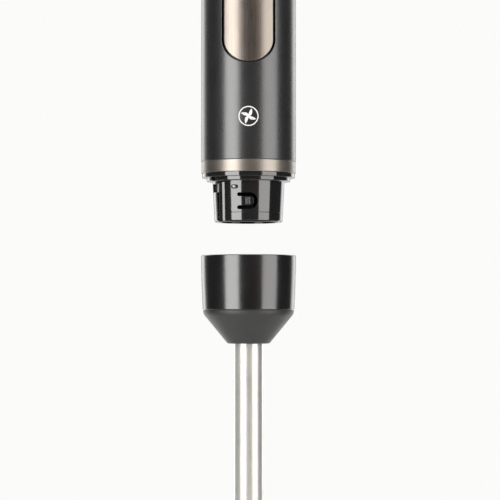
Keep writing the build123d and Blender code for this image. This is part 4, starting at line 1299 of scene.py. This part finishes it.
@dataclass
class CarriedNodes:
    """CAD nodes that are shown as they were packed.

    Attributes:
        nodes: The CAD objects by name.
        record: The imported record.
    """

    nodes: dict[str, bpy.types.Object]
    record: dict

    def dress(self) -> None:
        """Gives every CAD node its own finish or that of its material slot."""
        for part in self.record["subparts"]:
            finish = OWN_FINISHES.get(part["node"], NODE_FINISHES[part["material_slot"]])
            data = self.nodes[part["node"]].data
            data.materials.clear()
            data.materials.append(finish.material())
            log.info("%s: %s", part["node"], finish.name)


class Strip(Enum):
    """Softboxes: direction and width in degrees, radiance, height and half height in metres."""

    KEY = (-41.0, 35.0, 7.0, 0.0, 1.3)
    FILL = (53.0, 38.5, 4.2, 0.0, 1.3)
    BACK_LEFT = (-143.0, 20.0, 2.0, 0.1, 1.0)
    BACK_RIGHT = (142.0, 22.0, 2.0, 0.1, 1.0)


@dataclass
class Studio:
    """Floor, lights, surroundings and camera.

    Attributes:
        white: Colour that the camera sees behind the object.
        room: Colour of the surroundings by direction: azimuth in degrees from the camera, and radiance.
        overhead: Rise at which the ceiling's glow starts and is full, and its radiance.
        light_distance: Distance of the softboxes from the axis, m.
        camera_place: Place of the camera, m.
        camera_tilt: Upward tilt of the camera, degrees.
        lens: Focal length, mm.
        floor_radius: Radius of the floor, m.
    """

    white: Colour = (0.965, 0.965, 0.957)
    room: tuple[tuple[float, Colour], ...] = (
        (-180, (0.8, 0.8, 0.79)), (-146, (1.1, 1.1, 1.09)), (-130, (0.5, 0.5, 0.5)),
        (-119, (0.06, 0.06, 0.06)), (-95, (0.03, 0.03, 0.03)), (-24, (0.05, 0.055, 0.05)),
        (-6, (0.03, 0.032, 0.03)), (14, (0.09, 0.06, 0.035)), (30, (0.14, 0.09, 0.055)),
        (80, (0.03, 0.03, 0.03)), (126, (0.06, 0.06, 0.06)), (139, (0.5, 0.5, 0.5)),
        (153, (1.1, 1.1, 1.09)), (180, (0.8, 0.8, 0.79)))
    overhead: tuple[float, float, float] = (0.45, 0.95, 1.1)
    light_distance: float = 1.6
    camera_place: tuple[float, float, float] = (0.0009, -1.22, -0.0873)
    camera_tilt: float = 1.575
    lens: float = 144.0
    floor_radius: float = 0.42

    def build_camera(self) -> None:
        """Places the camera in front, level with the spigot."""
        data = bpy.data.cameras.new("camera")
        data.lens = self.lens
        data.sensor_width = 36
        data.clip_start = 0.01
        camera = bpy.data.objects.new("camera", data)
        camera.location = self.camera_place
        camera.rotation_euler = (math.radians(90 + self.camera_tilt), 0, 0)
        bpy.context.scene.collection.objects.link(camera)
        bpy.context.scene.camera = camera

    def build_strips(self) -> None:
        """Hangs the tall softboxes that draw the long highlights."""
        for strip in Strip:
            azimuth, width, radiance, height, half_height = strip.value
            data = bpy.data.lights.new("softbox_" + strip.name.lower(), "AREA")
            data.shape = "RECTANGLE"
            data.size = 2 * self.light_distance * math.tan(math.radians(width / 2))
            data.size_y = 2 * half_height
            data.energy = radiance * math.pi * data.size * data.size_y
            data.color = (1.0, 0.995, 0.985)
            light = bpy.data.objects.new(data.name, data)
            turn = Matrix.Rotation(math.radians(azimuth), 4, "Z")
            tilt = Matrix.Rotation(math.pi / 2, 4, "X")
            light.matrix_world = turn @ Matrix.Translation((0, -self.light_distance, height)) @ tilt
            light.visible_camera = False
            bpy.context.scene.collection.objects.link(light)

    def build_surroundings(self) -> None:
        """Paints the room: white for the camera, dark cloth in front and a white wall behind."""
        world = bpy.data.worlds.new("studio")
        bpy.context.scene.world = world
        graph = Graph(world, "OutputWorld")
        parts = graph.add("SeparateXYZ", {0: graph.add("TexCoord").outputs["Generated"]})
        front = graph.add("Math", {0: parts.outputs["Y"], 1: -1}, operation="MULTIPLY").outputs[0]
        angle = graph.add("Math", {0: parts.outputs["X"], 1: front}, operation="ARCTAN2").outputs[0]
        share = graph.add("MapRange", {"Value": angle, "From Min": -math.pi, "From Max": math.pi}).outputs[0]
        wall = graph.add("ValToRGB", {0: share})
        stops = wall.color_ramp.elements
        while len(stops) < len(self.room):
            stops.new(1.0)
        for stop, (azimuth, colour) in zip(stops, self.room):
            stop.position = (azimuth + 180) / 360
            stop.color = (*colour, 1)
        start, end, radiance = self.overhead
        sockets = {"Value": parts.outputs["Z"], "From Min": start, "From Max": end, "To Min": 0.0,
                   "To Max": radiance}
        ceiling = graph.add("MapRange", sockets, interpolation_type="SMOOTHSTEP").outputs[0]
        sockets = {"Factor": 1, 6: wall.outputs[0], 7: ceiling}
        both = graph.add("Mix", sockets, data_type="RGBA", blend_type="LIGHTEN").outputs[2]
        room = graph.add("Background", {"Color": both})
        seen = graph.add("Background", {"Color": (*self.white, 1)})
        camera_ray = graph.add("LightPath").outputs["Is Camera Ray"]
        graph.show(graph.add("MixShader", {0: camera_ray, 1: room.outputs[0], 2: seen.outputs[0]}))

    def build_floor(self, height: float) -> None:
        """Lays a pale round floor whose rim fades out.

        Args:
            height: Height of the floor, m.
        """
        mesh = bmesh.new()
        bmesh.ops.create_circle(mesh, cap_ends=True, segments=96, radius=self.floor_radius)
        bmesh.ops.translate(mesh, verts=mesh.verts, vec=(0, 0, height))
        data = bpy.data.meshes.new("studio_floor")
        mesh.to_mesh(data)
        mesh.free()
        floor = bpy.data.objects.new("studio_floor", data)
        bpy.context.scene.collection.objects.link(floor)
        data.materials.append(self.floor_material())

    def floor_material(self) -> bpy.types.Material:
        """Makes the floor's pale finish, clear towards the rim and from below."""
        material = bpy.data.materials.new("floor_pale")
        graph = Graph(material)
        place = graph.add("TexCoord").outputs["Object"]
        flat = graph.stretched(place, (1, 1, 0))
        reach = graph.add("VectorMath", {0: flat}, operation="LENGTH").outputs["Value"]
        sockets = {"Value": reach, "From Min": 0.3 * self.floor_radius, "From Max": 0.98 * self.floor_radius,
                   "To Min": 0.0, "To Max": 1.0}
        fade = graph.add("MapRange", sockets, interpolation_type="SMOOTHSTEP").outputs[0]
        tone = graph.noise(place, 14.0)
        colour = graph.blend(tone, (0.84, 0.84, 0.83), (0.88, 0.88, 0.87))
        pale = graph.add("BsdfPrincipled", {"Base Color": colour, "Roughness": 0.6})
        clear = graph.add("BsdfTransparent")
        below = graph.add("NewGeometry").outputs["Backfacing"]
        gone = graph.add("Math", {0: fade, 1: below}, operation="MAXIMUM").outputs[0]
        mix = graph.add("MixShader", {0: gone, 1: pale.outputs[0], 2: clear.outputs[0]})
        graph.show(mix)
        return material

    def build(self, floor_height: float) -> None:
        """Builds the whole studio.

        Args:
            floor_height: Height of the floor, m.
        """
        view = bpy.context.scene.view_settings
        view.view_transform = "Standard"
        view.look = "None"
        self.build_surroundings()
        self.build_strips()
        self.build_floor(floor_height)
        self.build_camera()


def main() -> None:
    """Loads the frame, dresses it and builds the visible pieces and the studio."""
    logging.basicConfig(level=logging.INFO, format="%(name)s: %(message)s")
    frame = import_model()
    CarriedNodes(frame["nodes"], frame["record"]).dress()
    builders: Sequence[Callable[[], None]] = (
        Grip().build, TrimRing().build, Spigot().build, Cup().build, Bell().build, Blade().build)
    for build in builders:
        build()
    low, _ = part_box("bell_guard")
    Studio().build(low.z - FLOOR_GAP)


if __name__ == "__main__":
    main()
